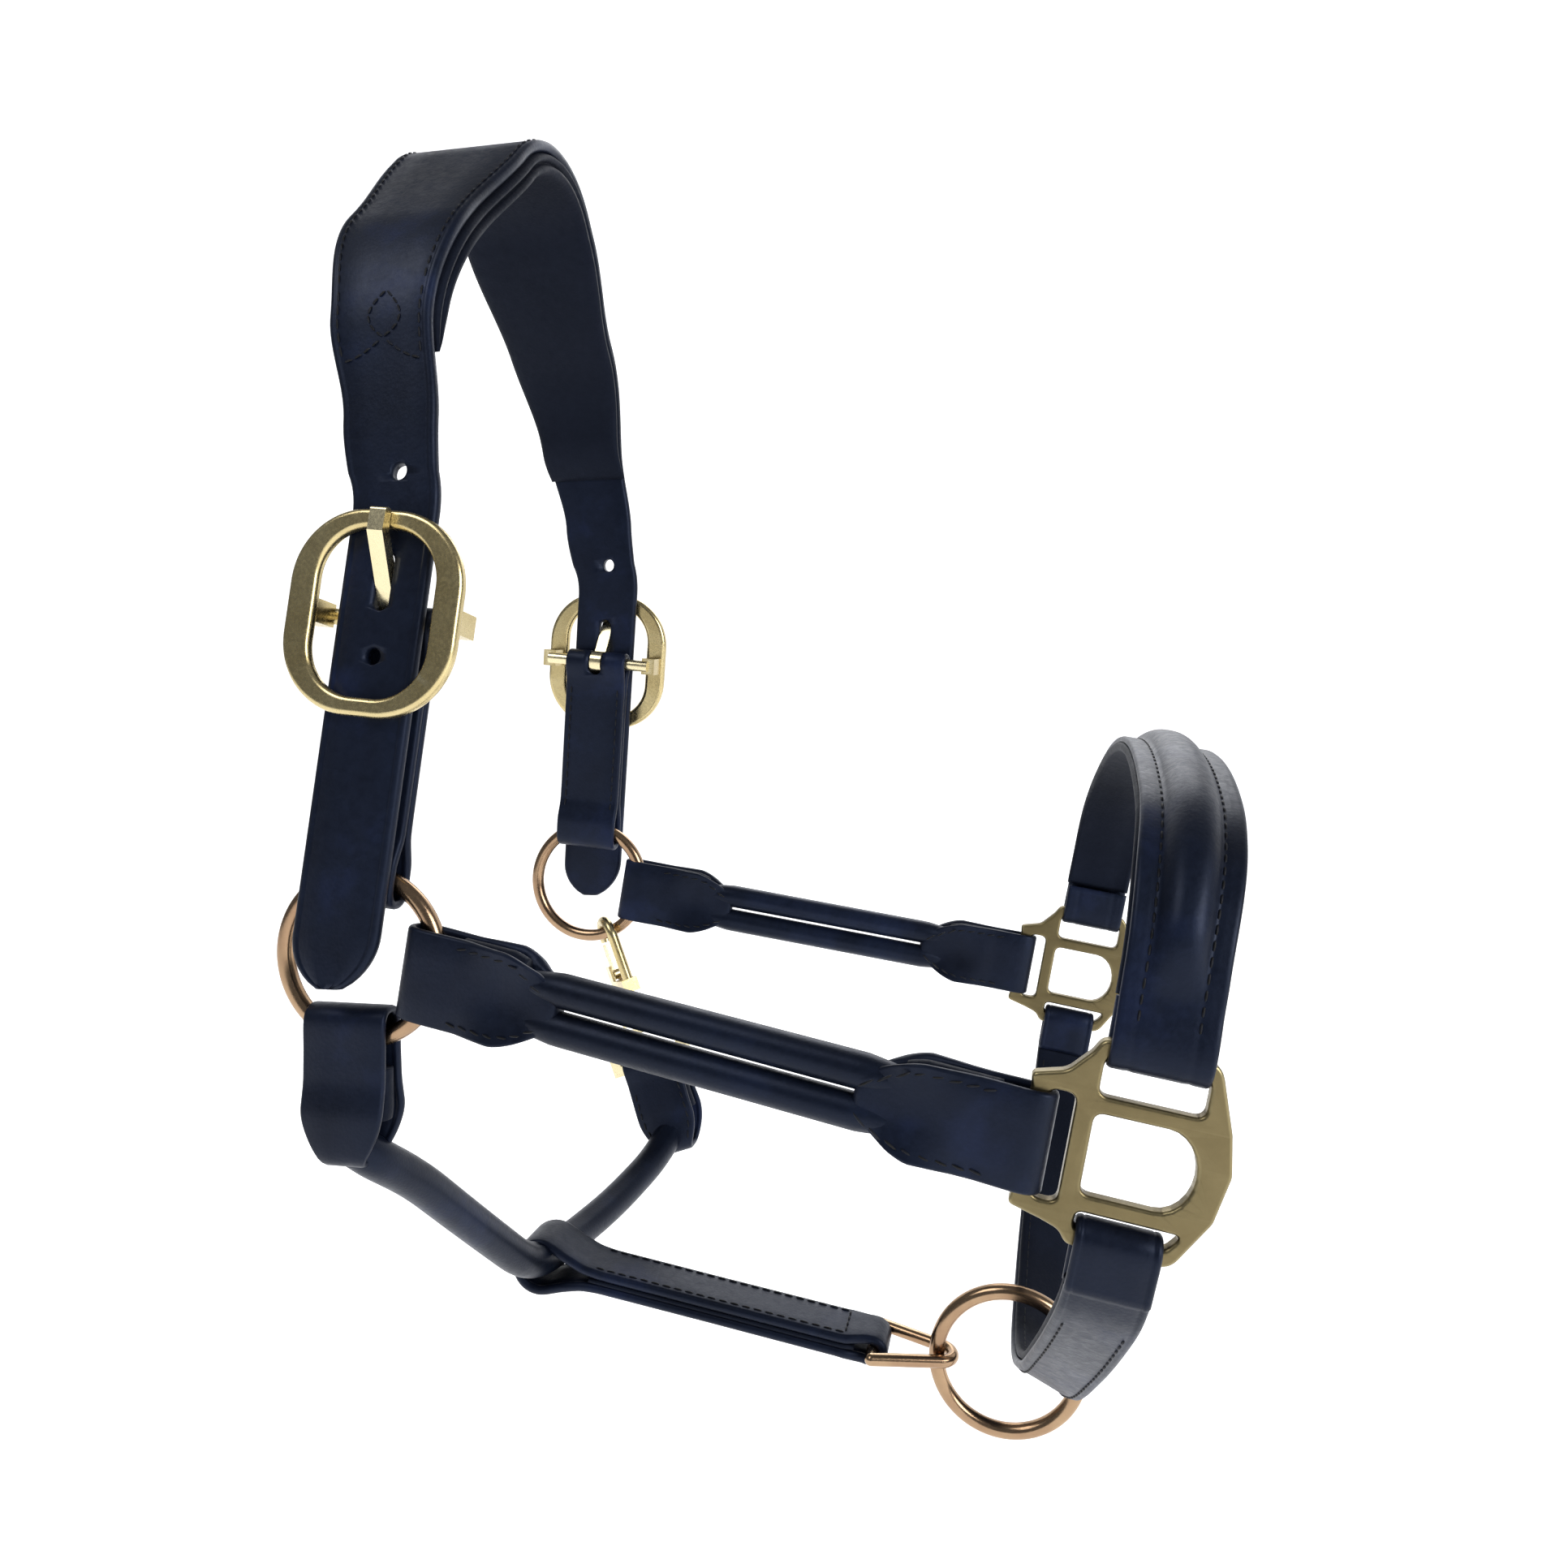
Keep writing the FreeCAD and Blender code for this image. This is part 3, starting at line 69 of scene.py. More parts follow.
FLARE = math.degrees(math.atan2(SQUARE_HALF - RING_HALF, CHEEK_REACH))
CHEEK_LENGTH = math.hypot(SQUARE_HALF - RING_HALF, CHEEK_REACH)


# ------------------------------------------------------------------ places

def spin(axis, degrees):
    return Matrix.Rotation(math.radians(degrees), 4, axis)


def ring_centre(side):
    return Vector((0, side * RING_HALF, -RING_DROP))


def leg_place(side):
    """Up one leg of the crown, leaning about the top of its ring."""
    rise = Vector((0, 0, RING_RADIUS))
    lean = spin("X", side * LEAN_IN) @ spin("Y", LEAN_FORWARD)
    return Matrix.Translation(ring_centre(side) + rise) @ lean @ Matrix.Translation(-rise)


def cheek_place(side):
    return Matrix.Translation(ring_centre(side)) @ spin("Y", CHEEK_SLOPE) @ spin("Z", side * FLARE)


NOSE_PLACE = Matrix.Translation((0, 0, -RING_DROP)) @ spin("Y", CHEEK_SLOPE)
CLIP_PLACE = Matrix.Translation(ring_centre(1)) @ spin("Y", -CLIP_ANGLE)
CONNECTOR_PLACE = Matrix.Translation(LASH) @ spin("Y", CONNECTOR_SLOPE)


def square_place(side):
    return NOSE_PLACE @ Matrix.Translation((CHEEK_REACH, side * SQUARE_HALF, 0))


# ------------------------------------------------------------------ lines

def rounded(corners, radii, step=1.5):
    """A line of close points: straight runs with each inner corner rounded to its radius."""
    points = [Vector(c) for c in corners]
    line = [points[0].copy()]
    for before, corner, after, radius in zip(points, points[1:], points[2:], radii):
        back, ahead = (before - corner).normalized(), (after - corner).normalized()
        half_turn = (math.pi - back.angle(ahead)) / 2
        cut = radius * math.tan(half_turn)
        centre = corner + (back + ahead).normalized() * (radius / math.cos(half_turn))
        enter, leave = corner + back * cut - centre, corner + ahead * cut - centre
        count = max(2, round(radius * 2 * half_turn / step))
        for n in range(count + 1):
            share = n / count
            turned = (enter * math.sin((1 - share) * 2 * half_turn) + leave * math.sin(share * 2 * half_turn))
            line.append(centre + turned / math.sin(2 * half_turn))
    line.append(points[-1].copy())
    return evenly(line, step)


def evenly(line, step, closed=False):
    """The same line with its points an even step apart."""
    line = line + [line[0]] if closed else line
    runs = [(b - a).length for a, b in zip(line, line[1:])]
    total = sum(runs)
    count = max(2, round(total / step))
    points, n, walked = [], 0, 0.0
    for k in range(count if closed else count + 1):
        target = total * k / count
        while n < len(runs) - 1 and walked + runs[n] < target:
            walked += runs[n]
            n += 1
        share = (target - walked) / runs[n] if runs[n] else 0
        points.append(line[n].lerp(line[n + 1], min(1, max(0, share))))
    return points


def eased(line, passes=2, closed=False):
    """The line with its sharpest turns worn a little rounder."""
    for _ in range(passes):
        fresh = []
        for n, point in enumerate(line):
            if not closed and n in (0, len(line) - 1):
                fresh.append(point.copy())
            else:
                fresh.append((line[n - 1] + point * 2 + line[(n + 1) % len(line)]) / 4)
        line = fresh
    return line


def between(table, at):
    """A value read off a table of (place, value) pairs, eased from one to the next."""
    if at <= table[0][0]:
        return table[0][1]
    for (a, low), (b, high) in zip(table, table[1:]):
        if at <= b:
            share = (at - a) / (b - a)
            return low + (high - low) * share * share * (3 - 2 * share)
    return table[-1][1]


class Station:
    """One place along a strap: its middle, the way across it and out of its face, and its two edges."""

    def __init__(self, place, across, out, low, high):
        self.place, self.across, self.out, self.low, self.high = place, across, out, low, high

    def point(self, a, b):
        return self.place + self.across * a + self.out * b

    def at(self, other, share):
        mix = lambda a, b: a + (b - a) * share
        return Station(self.place.lerp(other.place, share), self.across.lerp(other.across,
                                                                             share).normalized(),
                       self.out.lerp(other.out, share).normalized(), mix(self.low, other.low),
                       mix(self.high, other.high))


def flat_stations(line, place, across, half, flip=1, closed=False):
    """Stations along a flat curve in one place's own axes.

    half is half the strap's width, or a rule that gives its two edges at a point.
    """
    stations = []
    count = len(line)
    for n, point in enumerate(line):
        before = line[n - 1] if n or closed else line[0]
        after = line[(n + 1) % count] if n < count - 1 or closed else line[-1]
        along = (after - before).normalized()
        out = along.cross(across).normalized() * flip
        low, high = half(point) if callable(half) else (-half, half)
        stations.append(Station(place @ point, place.to_3x3() @ across, place.to_3x3() @ out, low, high))
    return stations


# ------------------------------------------------------------------ meshes

def put(name, data):
    """A new object in the scene, round a mesh, a curve, a lens or a light."""
    thing = bpy.data.objects.new(name, data)
    bpy.context.scene.collection.objects.link(thing)
    return thing


def shade_smooth(mesh):
    for face in mesh.polygons:
        face.use_smooth = True


def skin(count, size, closed=False):
    """Faces over a row of rings of corners, with both ends filled unless the row closes on itself."""
    faces = []
    for n in range(count if closed else count - 1):
        here, there = n * size, (n + 1) % count * size
        faces += [(here + k, here + (k + 1) % size, there + (k + 1) % size, there + k) for k in range(size)]
    if not closed:
        faces += [tuple(range(size - 1, -1, -1)), tuple(range((count - 1) * size, count * size))]
    return faces


def face_outwards(mesh):
    bm = bmesh.new()
    bm.from_mesh(mesh)
    bmesh.ops.recalc_face_normals(bm, faces=bm.faces)
    bm.to_mesh(mesh)
    bm.free()


class Making:
    """Corners and faces of one piece while it is being made, in millimetres."""

    def __init__(self):
        self.corners, self.faces, self.kinds = [], [], []

    def add(self, corners, faces, kind=0):
        start = len(self.corners)
        self.corners += [tuple(c) for c in corners]
        self.faces += [tuple(start + i for i in face) for face in faces]
        self.kinds += [kind] * len(faces)

    def piece(self, name, materials, body, slot):
        mesh = bpy.data.meshes.new(name)
        mesh.from_pydata([Vector(c) * MM for c in self.corners], [], self.faces)
        for material in materials:
            mesh.materials.append(material)
        for face, kind in zip(mesh.polygons, self.kinds):
            face.material_index = kind
            face.use_smooth = True
        mesh.validate()
        mesh.update()
        thing = put(name, mesh)
        face_outwards(mesh)
        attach(thing, body)
        return thing


def strap_section(station, low_face, high_face, crease=1.7, depth=0.28, plump=0.0):
    """Points round a strap's cut: burnished round edges and a creased line just inside each edge."""
    wide = station.high - station.low
    thick = high_face - low_face
    rim = min(thick * 0.42, wide * 0.35)
    crease = min(crease, wide * 0.3)
    middle = (low_face + high_face) / 2
    inside = [(rim, 0), (crease, 0), (crease + 0.35, -depth), (crease + 0.8, 0), (wide * 0.32, plump * 0.7),
              (wide * 0.5, plump)]
    top = [(station.low + a, high_face + b) for a, b in inside]
    top += [(station.high - a, high_face + b) for a, b in reversed(inside[:-1])]
    edge = []
    for n in range(1, 6):
        turn = math.pi * n / 6
        edge.append((math.sin(turn) * rim - rim, math.cos(turn) * thick / 2))
    right = [(station.high + a, middle + b) for a, b in edge]
    under = [(station.high - rim, low_face), (station.high - wide * 0.3, low_face - plump * 0.2),
             (station.low + wide * 0.3, low_face - plump * 0.2), (station.low + rim, low_face)]
    left = [(station.low - a, middle - b) for a, b in edge]
    return top + right + under + left


def lay(making, stations, section, closed=False, kind=0):
    """Skins a strap through its stations' sections."""
    rings = [[s.point(a, b) for a, b in section(s, n)] for n, s in enumerate(stations)]
    making.add([c for ring in rings for c in ring], skin(len(rings), len(rings[0]), closed), kind)


def spans(stations, closed=False):
    """How far along the strap each station is."""
    places = [0.0]
    for a, b in zip(stations, stations[1:] + (stations[:1] if closed else [])):
        places.append(places[-1] + (b.place - a.place).length)
    return places


STITCH = [(-0.5, 0.25), (-0.32, 0.9), (0.0, 1.0), (0.32, 0.9), (0.5, 0.25)]


def sew(making, start, end, out, thick=0.62):
    """One stitch of round thread, lying half sunk in the leather between its two holes."""
    along = end - start
    side = along.cross(out).normalized()
    corners, around = [], 6
    for share, size in STITCH:
        for k in range(around):
            turn = 2 * math.pi * k / around
            corners.append(start.lerp(end, share + 0.5) + (side * math.cos(turn) + out * math.sin(turn))
                           * thick * 0.5 * size + out * (0.24 - 0.3 * (share * 2) ** 4) * thick)
    making.add(corners, skin(len(STITCH), around))


def stitch_row(making, stations, row, first=0.0, last=1.0, pitch=3.9, length=3.0, lean=0.0):
    """A row of stitches; row gives (a, b) at a station; first and last are shares of the strap's length."""
    places = spans(stations)
    total = places[-1]
    n, at = 0, total * first + pitch / 2

    def spot(distance):
        nonlocal n
        while n and places[n] > distance:
            n -= 1
        while n < len(stations) - 2 and places[n + 1] < distance:
            n += 1
        run = places[n + 1] - places[n]
        station = stations[n].at(stations[n + 1], (distance - places[n]) / run if run else 0)
        return station, row(station)

    while at < total * last - pitch / 3:
        (one, (a, b)), (two, (c, d)) = spot(at - length / 2), spot(at + length / 2)
        sew(making, one.point(a - lean, b), two.point(c + lean, d), one.out)
        at += pitch


def tube(making, line, radius, seam=0.0):
    """A round bar along a line, with a shallow seam along it where a rolled strip closes."""
    up = Vector((0, 0, 1)) if abs((line[1] - line[0]).normalized().z) < 0.9 else Vector((1, 0, 0))
    corners, around = [], 24
    for n, point in enumerate(line):
        along = (line[min(n + 1, len(line) - 1)] - line[max(n - 1, 0)]).normalized()
        side = along.cross(up).normalized()
        up = side.cross(along).normalized()
        size = radius(n / (len(line) - 1)) if callable(radius) else radius
        for k in range(around):
            turn = 2 * math.pi * k / around
            dip = seam * max(0.0, 1 - abs(k - around // 4) / 1.2)
            corners.append(point + (side * math.cos(turn) + up * math.sin(turn)) * (size - dip))
    making.add(corners, skin(len(line), around))


# ------------------------------------------------------------------ finishes

def ink(hex_colour):
    """An sRGB hex colour as the linear colour that shaders work in."""
    channels = [int(hex_colour[n:n + 2], 16) / 255 for n in (1, 3, 5)]
    return (*[c / 12.92 if c <= 0.04045 else ((c + 0.055) / 1.055) ** 2.4 for c in channels], 1)


def add_node(material, kind, settings=None, **links):
    """Adds one node with its settings; a link is socket=(node, its output), a plain value sets the socket."""
    node = material.node_tree.nodes.new(kind)
    for name, value in (settings or {}).items():
        setattr(node, name, value)
    for name, value in links.items():
        socket = node.inputs[int(name[1:])] if name[0] == "_" and name[1:].isdigit() else \
            node.inputs[name.replace("_", " ")]
        if isinstance(value, tuple) and len(value) == 2 and hasattr(value[0], "outputs"):
            material.node_tree.links.new(value[0].outputs[value[1]], socket)
        else:
            socket.default_value = value
    return node


def blank(name):
    material = bpy.data.materials.new(name)
    material.use_nodes = True
    material.node_tree.nodes.clear()
    return material


def close(material, shader):
    output = material.node_tree.nodes.new("ShaderNodeOutputMaterial")
    material.node_tree.links.new(shader.outputs[0], output.inputs["Surface"])
    return material


def ramp(material, source, stops):
    node = add_node(material, "ShaderNodeValToRGB", Fac=source)
    node.color_ramp.elements[0].position, node.color_ramp.elements[0].color = stops[0]
    node.color_ramp.elements[1].position, node.color_ramp.elements[1].color = stops[-1]
    for position, colour in stops[1:-1]:
        node.color_ramp.elements.new(position).color = colour
    return node


def leather(name, deep, mid, worn, roughness=(0.36, 0.52), grain_mm=1.1, relief=0.16, coat=0.06):
    """Bridle leather, drum-dyed and waxed: fine pores, a soft waxy gloss and paler rubbed places."""
    m = blank(name)
    where = add_node(m, "ShaderNodeTexCoord")
    cloud = add_node(m, "ShaderNodeTexNoise", Vector=(where, "Object"), Scale=1000 / 38, Detail=5.0,
                     Roughness=0.6)
    pores = add_node(m, "ShaderNodeTexVoronoi", {"feature": "F1"}, Vector=(where, "Object"),
                     Scale=1000 / grain_mm)
    creases = add_node(m, "ShaderNodeTexNoise", Vector=(where, "Object"), Scale=1000 / 2.6, Detail=6.0,
                       Roughness=0.7, Distortion=0.6)
    tone = ramp(m, (cloud, "Fac"), [(0.28, ink(deep)), (0.55, ink(mid)), (0.80, ink(worn))])
    mottle = ramp(m, (creases, "Fac"), [(0.3, (0.80, 0.80, 0.80, 1)), (0.7, (1.15, 1.15, 1.15, 1))])
    colour = add_node(m, "ShaderNodeMix", {"data_type": "RGBA", "blend_type": "MULTIPLY"}, _0=0.8,
                      _6=(tone, "Color"), _7=(mottle, "Color"))
    wax = add_node(m, "ShaderNodeMapRange", Value=(creases, "Fac"), From_Min=0.3, From_Max=0.7,
                   To_Min=roughness[0], To_Max=roughness[1])
    height = add_node(m, "ShaderNodeMath", {"operation": "MULTIPLY_ADD"}, _0=(pores, "Distance"), _1=0.5,
                      _2=(creases, "Fac"))
    bump = add_node(m, "ShaderNodeBump", Height=(height, 0), Strength=relief, Distance=0.0004)
    shader = add_node(m, "ShaderNodeBsdfPrincipled", Base_Color=(colour, 2), Roughness=(wax, 0),
                      Normal=(bump, 0), IOR=1.5)
    shader.inputs["Specular IOR Level"].default_value = 0.26
    shader.inputs["Specular Tint"].default_value = ink("#9fb2e0")
    shader.inputs["Coat Weight"].default_value = coat
    shader.inputs["Coat Roughness"].default_value = 0.30
    shader.inputs["Coat Tint"].default_value = ink("#c9d4f2")
    return close(m, shader)


def brass(name, dark, mid, bright, roughness, relief, grain_mm=0.7, painted_edge_highlight=0.5):
    """Brass: castings tumbled to a satin or drawn wire polished; convex arrises are painted paler as a painted
    highlight.
    """
    m = blank(name)
    where = add_node(m, "ShaderNodeTexCoord")
    cloud = add_node(m, "ShaderNodeTexNoise", Vector=(where, "Object"), Scale=1000 / 14, Detail=4.0,
                     Roughness=0.6)
    grit = add_node(m, "ShaderNodeTexNoise", Vector=(where, "Object"), Scale=1000 / grain_mm, Detail=4.0,
                    Roughness=0.65)
    tone = ramp(m, (cloud, "Fac"), [(0.25, ink(dark)), (0.75, ink(mid))])
    arris = add_node(m, "ShaderNodeNewGeometry")
    # painted highlight: convex arrises (high pointiness) are mixed towards the bright colour, standing in for
    # the light they catch
    edge = add_node(m, "ShaderNodeMapRange", Value=(arris, "Pointiness"), From_Min=0.50, From_Max=0.58,
                    To_Min=0.0, To_Max=painted_edge_highlight)
    colour = add_node(m, "ShaderNodeMix", {"data_type": "RGBA"}, _0=(edge, 0), _6=(tone, "Color"),
                      _7=ink(bright))
    dull = add_node(m, "ShaderNodeMapRange", Value=(grit, "Fac"), From_Min=0.3, From_Max=0.7,
                    To_Min=roughness[0], To_Max=roughness[1])
    bump = add_node(m, "ShaderNodeBump", Height=(grit, "Fac"), Strength=relief, Distance=0.0002)
    shader = add_node(m, "ShaderNodeBsdfPrincipled", Base_Color=(colour, 2), Metallic=1.0,
                      Roughness=(dull, 0),
                      Normal=(bump, 0))
    return close(m, shader)


def waxed_thread(name, shade):
    """Braided polyester thread, waxed black: a fine twist that catches a little light."""
    m = blank(name)
    where = add_node(m, "ShaderNodeTexCoord")
    twist = add_node(m, "ShaderNodeTexWave", {"wave_type": "BANDS", "bands_direction": "DIAGONAL"},
                     Vector=(where, "Object"), Scale=1000 / 6.0, Distortion=1.0)
    tone = ramp(m, (twist, "Fac"), [(0.2, ink(shade)), (0.9, ink("#10131b"))])
    bump = add_node(m, "ShaderNodeBump", Height=(twist, "Fac"), Strength=0.3, Distance=0.0002)
    shader = add_node(m, "ShaderNodeBsdfPrincipled", Base_Color=(tone, "Color"), Roughness=0.55,
                      Normal=(bump, 0))
    shader.inputs["Specular IOR Level"].default_value = 0.2
    return close(m, shader)


STRAP = leather("bridle_leather_waxed", "#06080f", "#0c111d", "#18203a")
LINING = leather("lining_leather_soft", "#040509", "#080a11", "#10141f", (0.55, 0.72), 0.9, 0.22, 0.0)
ROLLED = leather("rolled_leather_waxed", "#06080f", "#0c111c", "#1a2238", (0.34, 0.5), 0.8, 0.14)
THREAD = waxed_thread("waxed_thread_black", "#08090c")
CAST = brass("cast_brass_satin", "#52472f", "#63573c", "#c9bd92", (0.30, 0.42), 0.08, 0.8, 0.6)
DRAWN = brass("drawn_brass_polished", "#8a6c55", "#a58a6c", "#dccbab", (0.16, 0.26), 0.04, 0.5, 0.4)
POLISHED = brass("cast_brass_polished", "#b3a06f", "#c6b688", "#f1e8c6", (0.20, 0.32), 0.05, 0.9, 0.5)


# ------------------------------------------------------------------ crown

def over(point):
    return Vector((point.x, -point.y, point.z))


def crown_line():
    """The crown strap's middle line, from the right billet's tip over the poll to the left one's."""
    leg = leg_place(-1)
    low = leg @ Vector((0, -BILLET_OUT, BILLET_TIP))
    up = leg.to_3x3() @ Vector((0, 0, 1))
    shoulder_z, slope, bend, poll = -50, math.radians(45), 62, POLL_TOP
    foot = Vector((0, low.y, low.z))
    shoulder = Vector((0, foot.y + up.y / up.z * (shoulder_z - foot.z), shoulder_z))
    apex = Vector((0, 0, shoulder_z - shoulder.y * math.tan(slope)))
    top_bend = (apex.z - poll) / (1 / math.cos(slope) - 1)
    return rounded([foot, shoulder, apex, over(shoulder), over(foot)], [bend, top_bend, bend], 1.6)


LEG_TOP = BUCKLE_RISE + 27 - RING_DROP
CROWN_RISE = POLL_TOP - LEG_TOP
CROWN_EDGES = [(0.0, -2.8, 22.3), (0.2, -6.5, 21.0), (0.42, -12.0, 18.2), (0.69, -17.1, 20.9),
               (0.90, -20.7, 24.5),
               (1.03, -22.9, 25.6)]
CROWN_REAR = [(LEG_TOP + CROWN_RISE * share, rear) for share, rear, _ in CROWN_EDGES]
CROWN_FRONT = [(LEG_TOP + CROWN_RISE * share, front) for share, _, front in CROWN_EDGES]
TIP_LENGTH = 15


def crown_edges(point):
    """The crown strap's rear and front edges, drawn in to the billets' rounded tips."""
    height = point.z
    middle = (height + RING_DROP - RING_RADIUS) * math.tan(math.radians(LEAN_FORWARD))
    low, high = middle - BILLET_HALF, middle + BILLET_HALF
    if height >= LEG_TOP:
        share = min(1, (height - LEG_TOP) / 12)
        low = low * (1 - share) + between(CROWN_REAR, height) * share
        high = high * (1 - share) + between(CROWN_FRONT, height) * share
    foot = BILLET_TIP - RING_DROP
    into = max(0.02, min(1.0, (height - foot) / TIP_LENGTH))
    keep = (1 - (1 - into) ** 2.0) ** 0.62
    centre = (low + high) / 2
    return centre + (low - centre) * keep, centre + (high - centre) * keep


def hole_cutter(place, width, depth, height):
    """A round-ended punch; the longer it is along Z, the more of a slot it cuts."""
    making = Making()
    around, corners = 24, []
    for reach in (-depth, depth):
        for k in range(around):
            turn = 2 * math.pi * k / around
            shift = (height - width) / 2 * (1 if math.sin(turn) >= 0 else -1)
            corners.append(place @ Vector((math.cos(turn) * width / 2, reach,
                                           math.sin(turn) * width / 2 + shift)))
    making.add(corners, skin(2, around))
    return making


def punch(piece, cutters):
    """Cuts holes clean through a piece."""
    making = Making()
    for cutter in cutters:
        making.add(cutter.corners, cutter.faces)
    mesh = bpy.data.meshes.new("punch")
    mesh.from_pydata([Vector(c) * MM for c in making.corners], [], making.faces)
    face_outwards(mesh)
    tool = put("punch", mesh)
    cut = piece.modifiers.new("punch", "BOOLEAN")
    cut.object, cut.operation, cut.solver = tool, "DIFFERENCE", "EXACT"
    bpy.context.view_layer.update()
    made = bpy.data.meshes.new_from_object(piece.evaluated_get(bpy.context.evaluated_depsgraph_get()))
    piece.modifiers.clear()
    piece.data = made
    bpy.data.objects.remove(tool)
    shade_smooth(made)


def inset(s, edge, by):
    """A place inside one edge of a strap: its low edge where edge is negative."""
    return s.low + by if edge < 0 else s.high - by


def make_crown():
    across = Vector((1, 0, 0))
    line = crown_line()
    stations = flat_stations(line, Matrix.Identity(4), across, crown_edges, -1)
    half = STRAP_THICK / 2
    strap = Making()
    lay(strap, stations, lambda s, n: strap_section(s, -half, half, 2.0, 0.22))
    crown = strap.piece("crown_strap_leather", [STRAP], "crown", "strap_leather")
    cutters = []
    for side in SIDES.values():
        leg = leg_place(side)
        for height, tall in ((BUCKLE_RISE + 39, 5.0), (BUCKLE_RISE - 11, 4.8), (BUCKLE_RISE + 9.2, 16.0)):
            spot = leg @ Matrix.Translation((0, side * BILLET_OUT, height))
            cutters.append(hole_cutter(spot, 4.8 if tall < 10 else 5.2, 8, tall))
    punch(crown, cutters)
    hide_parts("crown_strap")

    top = [s for s in stations if s.place.z > PAD_FOOT]
    reach = spans(top)
    tapered = 16.0

    def swell(n):
        """How full the padding is: all of it, but for its two stitched ends."""
        into = min(reach[n], reach[len(top) - 1] - reach[n]) / tapered
        return math.sin(min(1, into) * math.pi / 2) ** 0.7

    def padding_section(s, n):
        full = max(0.10, swell(n))
        deep = 6.5 * full
        side = [(1.6, 0.0), (0.3, 0.08), (-0.7, 0.20), (-0.6, 0.32), (0.7, 0.43), (1.9, 0.48), (0.6, 0.53),
                (-0.6, 0.66), (-0.5, 0.82), (0.9, 0.95), (3.4, 1.0), (8.0, 1.04)]
        left = [(s.low + a, -half - deep * b) for a, b in side]
        right = [(s.high - a, -half - deep * b) for a, b in reversed(side)]
        bottom = [((s.low + s.high) / 2, -half - deep * 1.05)]
        return left + bottom + right

    pad = Making()
    lay(pad, top, padding_section)
    lining = pad.piece("crown_padding_lining", [LINING], "crown", "lining_leather")
    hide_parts("poll_padding", "poll_lining")

    thread = Making()
    upper = [s for s in stations if s.place.z > PAD_SEAM_FOOT]
    for edge in (-1, 1):
        stitch_row(thread, upper, lambda s: (inset(s, edge, SEAM_INSET), half))
    for side in SIDES.values():
        leg = sorted((s for s in stations if -85 < s.place.z < -60 and s.place.y * side > 0),
                     key=lambda s: -s.place.z)
        ends = [s for s in leg if s.place.z > -83]
        for edge in (-1, 1):
            stitch_row(thread, ends, lambda s: (inset(s, edge, SEAM_INSET), half))
            foot = ends[-1]
            rim, middle = inset(foot, edge, 3.2), (foot.low + foot.high) / 2
            up = foot.across.cross(foot.out)
            up = up if up.z > 0 else -up
            arch = [Station(foot.point(rim + (middle - rim) * k / 8, half) + up * 6.5 * (k / 8) ** 1.6,
                            foot.across, foot.out, -1, 1) for k in range(9)]
            stitch_row(thread, arch, lambda s: (0, 0.1), pitch=3.0, length=2.4)
            bow = []
            for k in range(15):
                climb = k / 14
                wide = math.sin(math.pi * climb ** 0.85) * 4.7
                bow.append(Station(foot.point(middle + edge * wide, half) + up * (6.5 + 13.5 * climb),
                                   foot.across, foot.out, -1, 1))
            for s in bow:
                near = min(leg, key=lambda t: abs(t.place.z - s.place.z))
                s.place += near.out * ((near.place - s.place).dot(near.out) + half)
            stitch_row(thread, bow, lambda s: (0, 0.1), pitch=2.8, length=2.2)
    thread.piece("crown_stitching", [THREAD], "crown", "cord")


# ------------------------------------------------------------------ folded tabs

def loop_line(profile):
    """A closed line through (along, out) points that stand on one side, mirrored to the other."""
    upper = [Vector((a, b, 0)) for a, b in profile]
    lower = [Vector((a, -b, 0)) for a, b in reversed(profile) if abs(b) > 1e-6]
    return eased(evenly(upper + lower, 1.2, True), 2, True)


def folded(name, body, place, profile, half, thick, replaces, filler=None, rows=None, drape=None, extra=None):
    """A strip folded on itself: a closed loop of leather, a packing layer between, and stitching."""
    across = Vector((0, 0, 1))
    line = loop_line(profile)
    stations = flat_stations(line, place, across, half, closed=True)
    making = Making()

    def section(s, n):
        points = strap_section(s, -thick / 2, thick / 2, 1.6, 0.22)
        return [(a, b + (drape(line[n], a) if drape else 0.0)) for a, b in points]

    lay(making, stations, section, closed=True)
    if filler:
        start, end, gap = filler
        rest = [Vector((start + (end - start) * k / 24, 0, 0)) for k in range(25)]
        inner = (lambda p: tuple(v * 0.97 for v in half(p))) if callable(half) else half * 0.97
        lay(making, flat_stations(rest, place, across, inner),
            lambda s, n: strap_section(s, -gap / 2, gap / 2, 1.2, 0.0), kind=1)
    piece = making.piece(name, [STRAP, LINING], body, "strap_leather")
    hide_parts(*replaces)
    if rows:
        thread = Making()
        for face in (1, -1):
            for margin, first, last, lean in rows:
                run = [p for p in line if p.y * face > 0.2 and first < p.x < last]
                run.sort(key=lambda p: p.x)
                sewn = flat_stations(run, place, across, half)
                for s in sewn:
                    local = place.inverted().to_3x3() @ s.out
                    if local.y * face < 0:
                        s.out = -s.out
                for edge in (-1, 1):
                    def row(s):
                        a = inset(s, edge, margin)
                        spot = place.inverted() @ s.place
                        return a, thick / 2 + (abs(drape(spot, a)) if drape else 0.0)
                    stitch_row(thread, sewn, row, lean=lean * edge)
        if extra:
            extra(thread)
        thread.piece(f"{name}_stitching", [THREAD], body, "cord")
    return piece


RING_FOLD = [(FOLD_EDGE + 1.1, 0.0), (FOLD_EDGE + 1.5, 2.2), (FOLD_EDGE + 3.2, 3.6), (FOLD_EDGE + 7, 3.85),
             (FOLD_EDGE + 12, 3.8)]
# These turn (along, out, across) into a leg's own (across, out, up), and into a strap's that hangs down.
LEG_AXES = Matrix(((0, 0, 1, 0), (0, 1, 0, 0), (1, 0, 0, 0), (0, 0, 0, 1)))
DOWN_AXES = Matrix(((0, 0, 1, 0), (0, 1, 0, 0), (-1, 0, 0, 0), (0, 0, 0, 1)))


